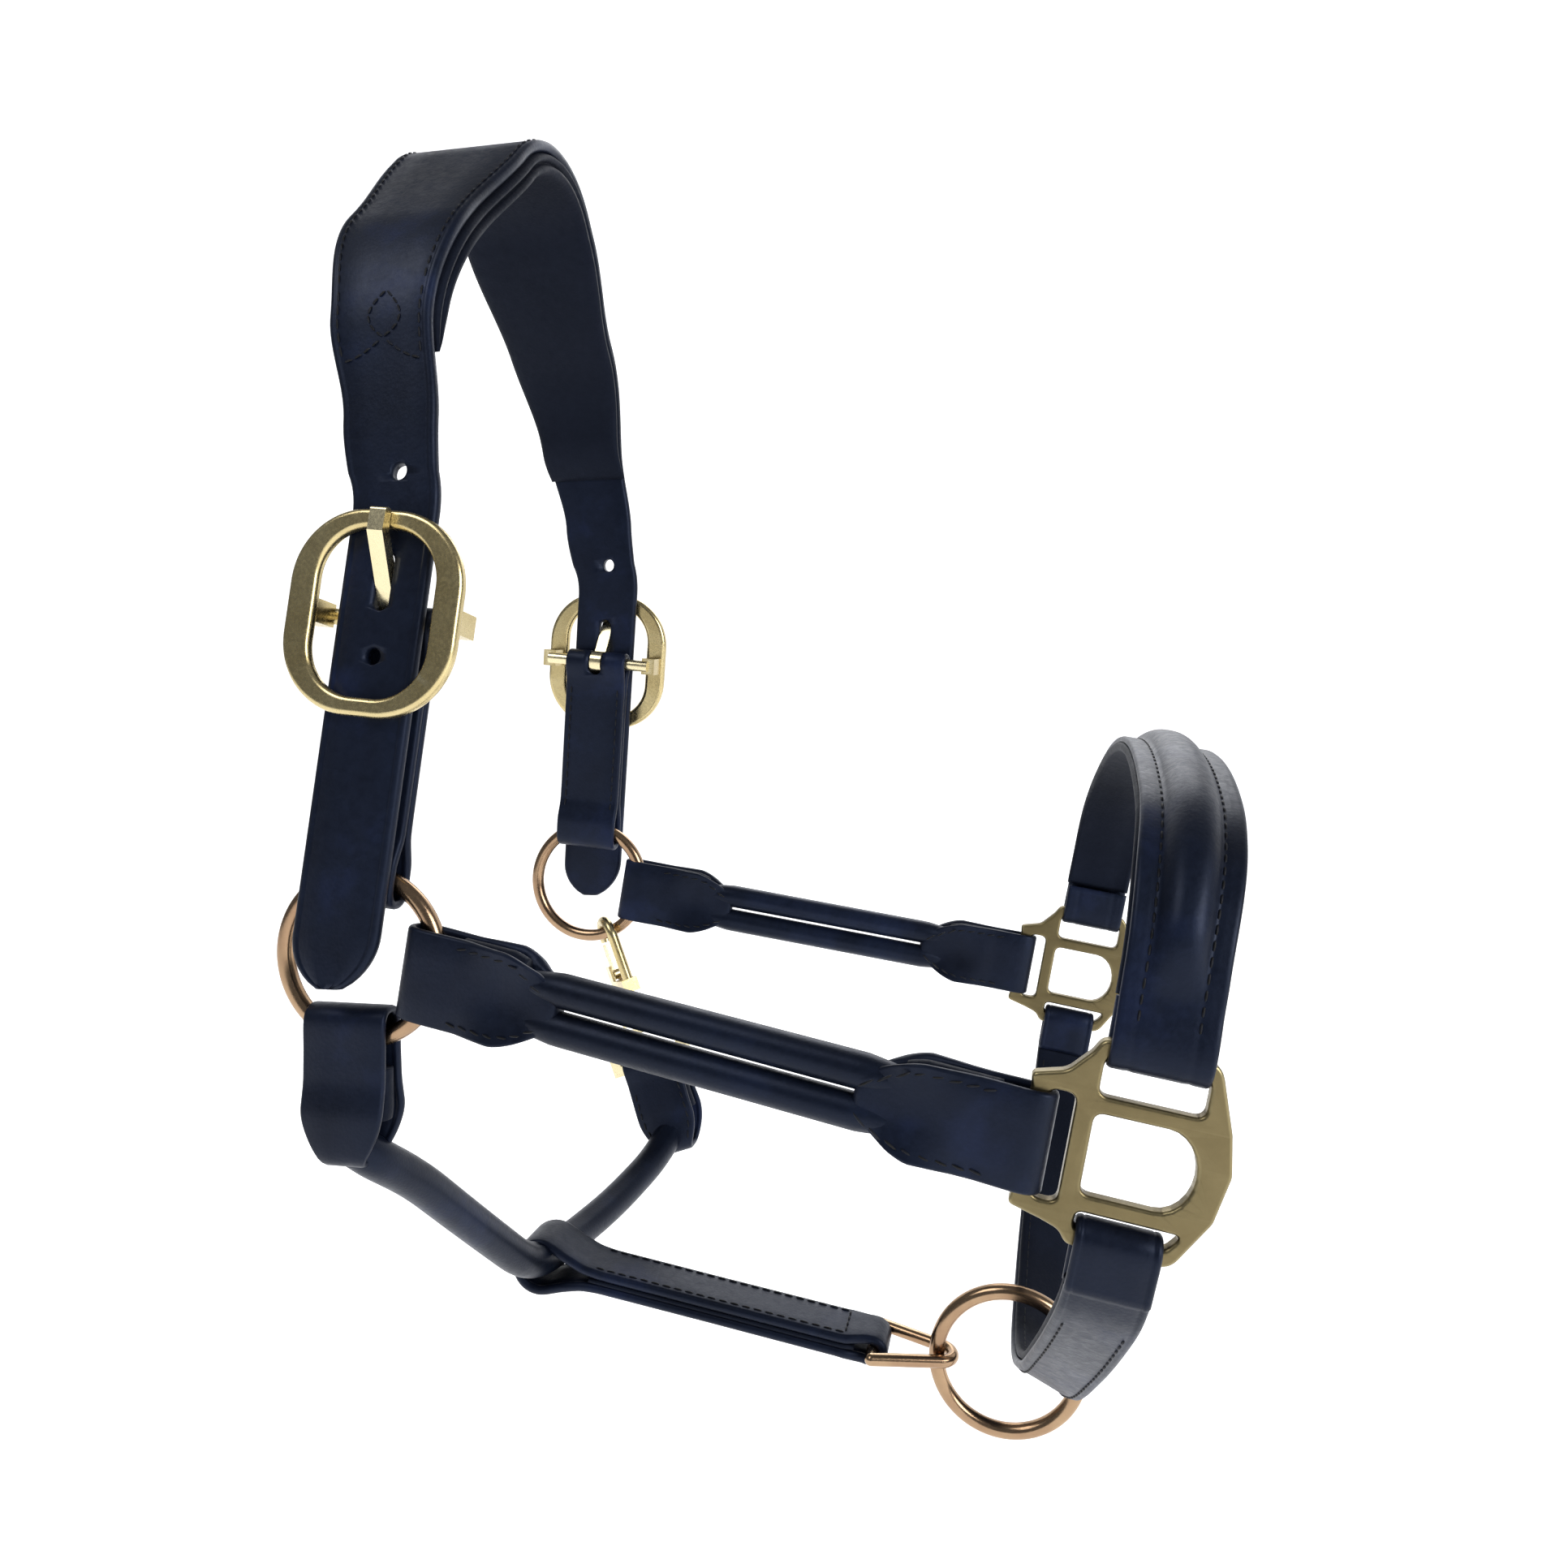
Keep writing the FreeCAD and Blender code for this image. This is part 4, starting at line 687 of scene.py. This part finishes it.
def narrowing(wide, start, end, most=0.62, power=1.5):
    """A rule for a tab's edges: the full width as far as start, then drawn in to the tab's end."""
    def half(point):
        into = min(1, max(0.0, (point.x - start) / (end - start)))
        keep = wide * (1 - most * into ** power)
        return -keep, keep
    return half


def over_rolls(into, across, rim, fall):
    """How leather rises over two rolls and sinks at its edges; into is how far it covers them."""
    if into < 0:
        return 0.0
    ridge = max(0.0, 1 - ((abs(across) - ROLL_APART) / 5.2) ** 2)
    edge = max(0.0, (abs(across) - rim) / fall)
    return min(1, into / 10) * (1.7 * ridge - 1.6 * edge)


def make_chape(name, side):
    place = leg_place(side) @ LEG_AXES
    bar = BUCKLE_RISE
    profile = RING_FOLD + [(FOLD_EDGE + 19, 1.5), (40, 1.35), (bar - 12, 1.35), (bar - 6, 2.0),
                           (bar - 3, 3.2),
                           (bar, 3.75), (bar + 2.7, 2.65), (bar + 3.75, 0.0)]
    chape = folded(f"{name}_chape_leather", "crown", place, profile, 12.4, 2.4, [f"{name}_chape"],
                   rows=[(2.6, FOLD_EDGE + 16, bar - 8, 0.0)])
    slot = leg_place(side) @ Matrix.Translation((0, 0, bar + 1))
    punch(chape, [hole_cutter(slot, 5.8, 9, 12)])


def make_rear_tab(name, side):
    place = cheek_place(side)
    end = 61
    profile = RING_FOLD + [(FOLD_EDGE + 19, 3.4), (40, 3.9), (52, 3.9), (end - 1, 3.8), (end, 3.2),
                           (end, 0.0)]
    folded(f"{name}_cheek_rear_leather", "nose_frame", place, profile, narrowing(12.4, 45, end),
           FOLD_LEATHER, [f"{name}_cheek_rear_tab"], filler=(31, 50, 4.0), rows=[(2.4, 30, 60, 0.35)],
           drape=lambda point, across: over_rolls(point.x - 34, across, 8.6, 3.6))


def make_front_tab(name, side):
    place = cheek_place(side)
    bar = CHEEK_LENGTH
    start = 139
    profile = [(start, 0.0), (start, 3.2), (start + 1, 3.8), (150, 3.9), (162, 3.8), (bar - 11, 3.2),
               (bar - 5, 3.5),
               (bar, 3.7), (bar + 2.7, 2.7), (bar + 3.7, 0.0)]
    folded(f"{name}_cheek_front_leather", "nose_frame", place, profile, narrowing(11.8, 155, start),
           FOLD_LEATHER, [f"{name}_cheek_front_tab"], filler=(150, bar - 8, 4.0),
           rows=[(2.3, 140, bar - 8, 0.35)], drape=lambda point,
           across: over_rolls(164 - point.x, across, 8.4, 3.4))


def make_rolls(name, side):
    place = cheek_place(side)
    for which, sign in (("upper", 1), ("lower", -1)):
        line = [place @ Vector((49 + (152 - 49) * k / 56, 0, sign * ROLL_APART)) for k in range(57)]
        making = Making()
        tube(making, line, lambda share: 2.6 + 1.9 * min(1.0, min(share, 1 - share) / 0.11) ** 0.7)
        roll = making.piece(f"{name}_cheek_{which}_rolled", [ROLLED], "nose_frame", "rolled_leather")
        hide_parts(f"{name}_cheek_{which}_roll", f"{name}_cheek_{which}_core")


# ------------------------------------------------------------------ cheek squares

def soft_outline(corners, radius):
    """A closed outline whose corners are rounded as far as its short sides allow."""
    points = [Vector((a, b, 0)) for a, b in corners]
    line = []
    for n, corner in enumerate(points):
        before, after = points[n - 1], points[(n + 1) % len(points)]
        back, ahead = before - corner, after - corner
        half_turn = (math.pi - back.angle(ahead)) / 2
        cut = min(radius * math.tan(half_turn), 0.45 * back.length, 0.45 * ahead.length)
        start, end = corner + back.normalized() * cut, corner + ahead.normalized() * cut
        for k in range(7):
            share = k / 6
            line.append(start.lerp(corner, share).lerp(corner.lerp(end, share), share))
    return line


def make_square(name, side):
    """A flat casting with softly rounded arrises."""
    bar, rear, stem = 4, 2, 8
    window = stem + 4.4
    top, low, tall, nose = TOP_BAR + 2, LOW_BAR + 2, 9.3, 43
    outer = [(-2.5, 15.2), (5, 17.4), (stem + 1.5, 22.6), (window - 1, top), (nose - 6.5, top),
             (nose - 1.6, 11),
             (nose, 2), (nose - 2, -9), (nose - 9, -low), (window - 1, -low), (stem + 1.5, -low + 2.8),
             (5, -17),
             (-2.5, -15.2), (-rear, -12.4), (-rear, 12.4)]
    slot = 12.5
    holes = [[(rear, -slot), (stem, -slot), (stem, slot), (rear, slot)],
             [(window, tall + bar), (nose - 7.8, tall + bar), (nose - 7.8, top - bar), (window, top - bar)],
             [(window, -tall)] + [(nose - 14.6 + 7.4 * math.sin(math.pi * k / 12),
                                   -tall * math.cos(math.pi * k / 12)) for k in range(13)] + [(window, tall)],
             [(window, -tall - bar), (window, -low + bar), (nose - 10.6, -low + bar),
              (nose - 7.6, -tall - bar)]]
    curve = bpy.data.curves.new(f"{name}_square_outline", "CURVE")
    curve.dimensions, curve.fill_mode = "2D", "BOTH"
    for corners, radius in [(outer, 5.0)] + [(hole, 2.4) for hole in holes]:
        points = soft_outline(corners, radius)
        spline = curve.splines.new("POLY")
        spline.points.add(len(points) - 1)
        for spot, point in zip(spline.points, points):
            spot.co = (point.x * MM, point.y * MM, 0, 1)
        spline.use_cyclic_u = True
    arris = 0.9
    curve.bevel_depth, curve.bevel_resolution = arris * MM, 3
    curve.offset = -arris * MM
    curve.extrude = (2.0 - arris) * MM
    shape = put(f"{name}_square_shape", curve)
    bpy.context.view_layer.update()
    mesh = bpy.data.meshes.new_from_object(shape.evaluated_get(bpy.context.evaluated_depsgraph_get()))
    bpy.data.objects.remove(shape)
    metres = square_place(side)
    metres.translation *= MM
    mesh.transform(metres @ spin("X", 90))
    mesh.materials.clear()
    mesh.materials.append(CAST)
    shade_smooth(mesh)
    piece = put(f"{name}_square_casting", mesh)
    weld = piece.modifiers.new("weld", "WELD")
    weld.merge_threshold = 0.00002
    smooth = piece.modifiers.new("normals", "WEIGHTED_NORMAL")
    smooth.keep_sharp = False
    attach(piece, "nose_frame")
    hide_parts(f"{name}_square")


# ------------------------------------------------------------------ noseband

def nose_arch():
    foot = Vector((NOSE_CENTRE, -SQUARE_HALF, TOP_BAR + 6))
    shoulder = Vector((NOSE_CENTRE, -SQUARE_HALF, TOP_BAR + 43))
    slope, top = math.radians(20.3), TOP_BAR + 68
    apex = Vector((NOSE_CENTRE, 0, shoulder.z + SQUARE_HALF * math.tan(slope)))
    top_bend = (apex.z - top) / (1 / math.cos(slope) - 1)
    return rounded([foot, shoulder, apex, over(shoulder), over(foot)], [49, top_bend, 49])


NOSE_HALF = [(TOP_BAR, 11.1), (TOP_BAR + 20, 11.2), (TOP_BAR + 48, 12.2), (TOP_BAR + 68, 12.6)]
NOSE_SHIFT = [(TOP_BAR + 20, 0.0), (TOP_BAR + 68, 1.0)]
PAD_RISE = [(TOP_BAR + 12, 0.0), (TOP_BAR + 30, 1.0)]


def nose_edges(point):
    """The cover's rear and front edges, measured from the band's centre line."""
    half, shift = between(NOSE_HALF, point.z), between(NOSE_SHIFT, point.z)
    return shift - half, shift + half


def make_noseband():
    across = Vector((1, 0, 0))
    arch = nose_arch()
    bottom = TOP_BAR

    def fold(side):
        """From inside the square, under its top bar and out again, as a half turn."""
        inside = [Vector((NOSE_CENTRE, side * (SQUARE_HALF - BAR_FOLD),
                          bottom + 11 - k * 1.4)) for k in range(8)]
        turn = [Vector((NOSE_CENTRE, side * (SQUARE_HALF - BAR_FOLD * math.cos(math.pi * k / 12)),
                        bottom - BAR_FOLD * math.sin(math.pi * k / 12))) for k in range(1, 12)]
        outside = [Vector((NOSE_CENTRE, side * (SQUARE_HALF + BAR_FOLD - 0.12 * k), bottom + 1.4 * k))
                   for k in range(5)]
        return inside + turn + outside

    plain = flat_stations(arch, Matrix.Identity(4), across, 1, -1)
    raised = [s.point(0, 1.2) for s in plain if s.place.z > bottom + 12]
    line = fold(-1) + raised + list(reversed(fold(1)))
    line = eased(evenly(line, 1.4), 3)
    stations = flat_stations(line, NOSE_PLACE, across, nose_edges, -1)
    reach = [p.z for p in line]

    def lift(n, share):
        outside = abs(line[n].y) > SQUARE_HALF - 1.5 or line[n].z > bottom + 20
        full = between(PAD_RISE, reach[n]) if outside else 0.0
        hump = max(0.0, 1 - (abs(share) / 0.60) ** 2.6)
        return 4.0 * full * hump

    def cover_section(s, n):
        points = []
        middle, wide = (s.low + s.high) / 2, (s.high - s.low) / 2
        rim = 0.9
        shares = [-1 + 2 * k / 30 for k in range(31)]
        for share in shares:
            a = middle + (wide - rim) * share
            groove = -0.35 * max(0.0, 1 - abs(abs(share) - PAD_SEAM) / 0.05)
            points.append((a, 1.1 + lift(n, share) + groove))
        points += [(s.high - 0.25, 0.75), (s.high, 0.0), (s.high - 0.25, -0.75)]
        points += [(middle + (wide - rim) * share, -1.1 + 0.9 * lift(n,
                                                                     share)) for share in reversed(shares[::3])]
        points += [(s.low + 0.25, -0.75), (s.low, 0.0), (s.low + 0.25, 0.75)]
        return points

    making = Making()
    lay(making, stations, cover_section)
    cover = making.piece("noseband_cover_leather", [STRAP], "nose_frame", "strap_leather")
    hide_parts("noseband_cover", "noseband_padding")

    inner = [p for p in arch if p.z > bottom + 11.5]

    def lining_edges(point):
        low, high = nose_edges(point)
        return low - 0.5, high + 0.3

    lining_stations = flat_stations(inner, NOSE_PLACE, across, lining_edges, -1)
    making = Making()

    def lining_section(s, n):
        """A soft lining with a rolled edge that stands a little past the cover."""
        wide = s.high - s.low
        top = [(s.low + 1.6, -0.1), (s.low + wide * 0.5, -0.1), (s.high - 1.6, -0.1)]
        rim = [(0.7, 0.28), (0.1, -0.1), (-0.1, -0.9), (0.1, -1.7), (0.8, -2.35), (1.7, -2.2), (2.5, -1.85)]
        right = [(s.high - a, b) for a, b in rim]
        under = [(s.high - wide * 0.3, -2.3), (s.low + wide * 0.5, -2.5), (s.low + wide * 0.3, -2.3)]
        left = [(s.low + a, b) for a, b in reversed(rim)]
        return top + right + under + left

    lay(making, lining_stations, lining_section)
    lining = making.piece("noseband_lining_leather", [LINING], "nose_frame", "lining_leather")
    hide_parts("noseband_lining")

    thread = Making()
    outer = [s for s, p in zip(stations, line) if p.z > bottom + 1 and abs(p.y) > 0
             and (abs(p.y) > SQUARE_HALF or p.z > bottom + 16)]
    for edge in (-1, 1):
        def row(s):
            middle, wide = (s.low + s.high) / 2, (s.high - s.low) / 2
            return middle + edge * (wide - 0.9) * PAD_SEAM, 0.85
        stitch_row(thread, outer, row, first=0.02, last=0.98, pitch=3.6, length=2.8)
    thread.piece("noseband_stitching", [THREAD], "nose_frame", "cord")


# ------------------------------------------------------------------ chin strap

def chin_route():
    """From the right bottom bar's outside down to the chin ring and up to the left, with the width's slope."""
    start = NOSE_PLACE @ Vector((CHIN_CENTRE, -SQUARE_HALF, -LOW_BAR - 10.5))
    end = CHIN_RING + Vector((10, 0, 2.7))
    stations = ((0, 0, 0, 0), (0.05, 0.10, 0.10, 0.05), (0.183, 0.28, 0.28, 0.20), (0.423, 0.56, 0.55, 0.50),
                (0.71, 0.85, 0.84, 0.80), (1, 1, 1, 1))
    route = [(Vector((start.x + (end.x - start.x) * back, start.y * (1 - side),
                      start.z + (end.z - start.z) * down)),
              CHEEK_SLOPE + (30 - CHEEK_SLOPE) * tilt) for side, down, back, tilt in stations]
    return route + [(over(p), tilt) for p, tilt in reversed(route[:-1])]


def curve_through(points, fine=14):
    """A smooth line through every point (centripetal Catmull-Rom)."""
    ends = [points[0] * 2 - points[1]] + points + [points[-1] * 2 - points[-2]]
    line = []
    for p0, p1, p2, p3 in zip(ends, ends[1:], ends[2:], ends[3:]):
        t = [0.0]
        for a, b in ((p0, p1), (p1, p2), (p2, p3)):
            t.append(t[-1] + max(1e-6, (b - a).length) ** 0.5)
        for k in range(fine):
            at = t[1] + (t[2] - t[1]) * k / fine
            mix = lambda a, b, u, v: a * ((v - at) / (v - u)) + b * ((at - u) / (v - u))
            a1, a2, a3 = mix(p0, p1, t[0], t[1]), mix(p1, p2, t[1], t[2]), mix(p2, p3, t[2], t[3])
            line.append(mix(mix(a1, a2, t[0], t[2]), mix(a2, a3, t[1], t[3]), t[1], t[2]))
    return line + [points[-1].copy()]


def chin_stations(fold):
    """The strap's stations; with fold, they go on round the squares' bottom bars and up inside."""
    route = chin_route()
    tall = curve_through([p for p, _ in route])
    tilts = curve_through([Vector((tilt, n * 10.0, 0)) for n, (_, tilt) in enumerate(route)])
    stations = []
    for n, (point, tilt) in enumerate(zip(tall, tilts)):
        along = (tall[min(n + 1, len(tall) - 1)] - tall[max(n - 1, 0)]).normalized()
        if n in (0, len(tall) - 1):
            along = (NOSE_PLACE.to_3x3() @ Vector((0, 0, -1 if n == 0 else 1))).normalized()
        slope = math.radians(tilt.x)
        across = Vector((math.cos(slope), 0, -math.sin(slope)))
        out = across.cross(along).normalized()
        across = along.cross(out).normalized()
        if across.x < 0:
            across, out = -across, -out
        inward = Vector((0, -point.y, -300 - point.z))
        if out.dot(inward) > 0:
            out = -out
        stations.append(Station(point, across, out, -CHIN_HALF, CHIN_HALF))
    if not fold:
        return stations
    ends = []
    for side in (-1, 1):
        line = [Vector((CHIN_CENTRE, side * (SQUARE_HALF - BAR_FOLD),
                        -LOW_BAR - 12 + 1.5 * k)) for k in range(8)]
        line += [Vector((CHIN_CENTRE, side * (SQUARE_HALF - BAR_FOLD * math.cos(math.pi * k / 12)),
                         -LOW_BAR + BAR_FOLD * math.sin(math.pi * k / 12))) for k in range(13)]
        line += [Vector((CHIN_CENTRE, side * (SQUARE_HALF + BAR_FOLD - 0.24 * k), -LOW_BAR - 1.4 * k))
                 for k in range(1, 9)]
        ends.append(flat_stations(eased(line, 2), NOSE_PLACE, Vector((1, 0, 0)), CHIN_HALF, -side))
    middle = [Station(s.point(0, 1.35), s.across, s.out, s.low, s.high) for s in stations[1:-1]]
    turned = list(reversed(ends[1]))
    both = []
    for group in (ends[0], middle, turned):
        for s in group:
            if both and s.across.dot(both[-1].across) < 0:
                s.across, s.out = -s.across, s.out
            both.append(s)
    return both


def make_chin_strap():
    outer = chin_stations(True)
    making = Making()
    lay(making, outer, lambda s, n: strap_section(s, -1.25, 1.25, 1.5, 0.2))
    strap = making.piece("chin_strap_outer_leather", [STRAP], "nose_frame", "strap_leather")
    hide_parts("chin_strap_outer")
    inner = chin_stations(False)
    making = Making()
    lay(making, inner, lambda s, n: strap_section(s, -2.6, -0.05, 1.5, 0.0))
    second = making.piece("chin_strap_inner_leather", [LINING], "nose_frame", "lining_leather")
    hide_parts("chin_strap_inner")
    thread = Making()
    for face, first in ((-2.55, 0.02), (2.6, 0.06)):
        for edge in (-1, 1):
            stitch_row(thread, inner, lambda s: (edge * 7.0, face), first=first, last=1 - first)
    thread.piece("chin_strap_stitching", [THREAD], "nose_frame", "cord")


# ------------------------------------------------------------------ throat lash

def throat_route():
    right = ring_centre(-1) + Vector((-2, 0, -52))
    left = CLIP_PLACE @ Vector((0, 0, -EYE_REACH - 28))

    def blend(tab, reach, rise, drop):
        return Vector((LASH.x + (tab.x - LASH.x) * reach[0], tab.y * reach[1], LASH.z - drop * rise))

    drop_right, drop_left = LASH.z - right.z, LASH.z - left.z
    return [right, blend(right, (0.86, 0.96), 0.94, drop_right), blend(right, (0.66, 0.78), 0.77, drop_right),
            blend(right, (0.40, 0.52), 0.46, drop_right), blend(right, (0.04, 0.16), 0.04, drop_right),
            blend(left, (0.04, 0.17), -0.06, drop_left), blend(left, (0.42, 0.50), 0.12, drop_left),
            blend(left, (0.78, 0.80), 0.50, drop_left), left]


def rounded_route(points):
    """Runs joined by arcs as large as the runs allow."""
    radii = []
    for before, corner, after in zip(points, points[1:], points[2:]):
        back, ahead = before - corner, after - corner
        half_turn = (math.pi - back.angle(ahead)) / 2
        radii.append(0.45 * min(back.length, ahead.length) / math.tan(half_turn))
    return rounded(points, radii)


def make_throat_lash():
    line = eased(rounded_route(throat_route()), 4)
    making = Making()
    tube(making, line, 5.75, seam=0.5)
    roll = making.piece("throat_lash_rolled", [ROLLED], "throat_lash", "rolled_leather")
    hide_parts("throat_roll", "throat_core")

    right = Matrix.Translation(ring_centre(-1) + Vector((-3, 0, 0))) @ DOWN_AXES
    profile = [(a - 1.2, b) for a, b in RING_FOLD]
    profile += [(34, 4.2), (42, 5.9), (50, 5.9), (54, 5.6), (55.5, 4.0), (55.5, 0.0)]
    folded("throat_right_leather", "throat_lash", right, profile, narrowing(12.0, 40, 55.5, 0.52, 1.8),
           FOLD_LEATHER, ["throat_right_tab"], filler=(30, 44, 5.2))
    left = CLIP_PLACE @ Matrix.Translation((0, 0, -EYE_REACH)) @ DOWN_AXES
    profile = [(-3.7, 0.0), (-2.7, 2.7), (0, 3.7), (6, 3.7), (12, 4.6), (20, 5.8), (31, 5.9), (35, 5.6),
               (37, 4.0),
               (37, 0.0)]
    folded("throat_left_leather", "throat_lash", left, profile, narrowing(12.0, 22, 37, 0.52, 1.8),
           FOLD_LEATHER, ["throat_left_tab"], filler=(6, 22, 5.2), rows=[(2.4, 9, 35, 0.2)])


def make_connector():
    """A strap doubled round the rolled throat lash at one end and the link's bar at the other."""
    place = CONNECTOR_PLACE @ Matrix(((1, 0, 0, 0), (0, 0, -1, 0), (0, 1, 0, 0), (0, 0, 0, 1)))
    loop, bar = 8.1, CONNECTOR_REACH
    profile = [(-loop, 0.0)]
    profile += [(-loop * math.cos(math.pi * k / 16), loop * math.sin(math.pi * k / 16)) for k in range(1, 11)]
    profile += [(loop * 1.1, 5.0), (loop * 1.9, 2.9), (loop * 2.6, 2.35), (60, 2.25), (bar - 10, 2.3),
                (bar - 5, 3.0),
                (bar, 3.6), (bar + 2.6, 2.6), (bar + 3.6, 0.0)]

    def half(point):
        slim = 9.2 - 1.7 * min(1, max(0.0, (point.x - (bar - 9)) / 6))
        return -slim, slim

    def seam(thread):
        """The stitched line across the strap just behind the link's fold."""
        for face in (1, -1):
            cross = [Station(place @ Vector((bar - 9.5, face * 4.0, -7 + k)),
                             place.to_3x3() @ Vector((1, 0, 0)),
                             place.to_3x3() @ Vector((0, face, 0)), -1, 1) for k in range(15)]
            stitch_row(thread, cross, lambda s: (0, 0.15), pitch=3.4, length=2.6)

    folded("connector_leather", "connector", place, profile, half, 3.1, ["connector_strap"],
           filler=(loop * 2.2, bar - 6, 1.5), rows=[(2.3, 18, bar - 8, 0.0)], extra=seam)


# ------------------------------------------------------------------ brass

def dress_brass():
    for name in SIDES:
        for node, finish in ((f"{name}_cheek_ring", DRAWN), (f"{name}_buckle_frame", POLISHED),
                             (f"{name}_buckle_tongue", POLISHED)):
            wear(node, finish)
    for node in ("chin_ring", "chin_link", "clip_gate_pin", "clip_spring"):
        wear(node, DRAWN)
    for node in ("clip_eye", "clip_hook", "clip_gate"):
        wear(node, POLISHED)


def wear(node, finish):
    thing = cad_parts[node]
    thing.data.materials.clear()
    thing.data.materials.append(finish)


# ------------------------------------------------------------------ studio

def studio():
    scene = bpy.context.scene
    lens = bpy.data.cameras.new("camera")
    lens.sensor_width, lens.lens = 36, 26.09
    lens.clip_start, lens.clip_end = 0.01, 50
    camera = put("camera", lens)
    look_down, look_left = 2.05, 11.16
    camera.location = Vector((170.8, -361.8, -184.7)) * MM
    camera.rotation_euler = (math.radians(90 - look_down), 0, math.radians(look_left))
    scene.camera = camera

    sweep = bpy.data.meshes.new("floor")
    low, far, bend = -0.445, 4.5, 1.5
    line = [(-4.0, low), (0.0, low)]
    line += [(far - bend + bend * math.sin(math.pi * k / 24), low + bend - bend * math.cos(math.pi * k / 24))
             for k in range(13)]
    line.append((far, 7.0))
    corners = [(side * 9.0, y, z) for y, z in line for side in (-1, 1)]
    sweep.from_pydata(corners, [], [(2 * n, 2 * n + 1, 2 * n + 3, 2 * n + 2) for n in range(len(line) - 1)])
    shade_smooth(sweep)
    pale = blank("pale_paper_sweep")
    paper = add_node(pale, "ShaderNodeBsdfPrincipled", Base_Color=ink("#f6f6f6"), Roughness=0.9,
                     Emission_Color=ink("#ffffff"), Emission_Strength=0.75)
    sweep.materials.append(close(pale, paper))
    floor = put("floor", sweep)

    world = bpy.data.worlds.new("studio")
    world.use_nodes = True
    world.node_tree.nodes["Background"].inputs["Color"].default_value = ink("#e8edf6")
    world.node_tree.nodes["Background"].inputs["Strength"].default_value = 0.22
    scene.world = world
    scene.view_settings.view_transform = "Standard"
    for name, place, aim, size, power in (
            ("window", (1.5, -0.9, 0.35), (0.1, 0, -0.2), 0.9, 22),
            ("overhead", (-0.5, -0.9, 1.1), (0.05, 0, -0.2), 0.8, 9),
            ("back", (0.2, 1.3, 0.9), (0.1, 0, -0.2), 1.0, 8)):
        light = bpy.data.lights.new(name, "AREA")
        light.size, light.energy = size, power
        lamp = put(name, light)
        lamp.location = place
        lamp.rotation_euler = (Vector(aim) - Vector(place)).to_track_quat("-Z", "Y").to_euler()


studio()
make_crown()
for side_name, side_sign in SIDES.items():
    make_chape(side_name, side_sign)
    make_rear_tab(side_name, side_sign)
    make_rolls(side_name, side_sign)
    make_front_tab(side_name, side_sign)
    make_square(side_name, side_sign)
make_noseband()
make_chin_strap()
make_throat_lash()
make_connector()
dress_brass()
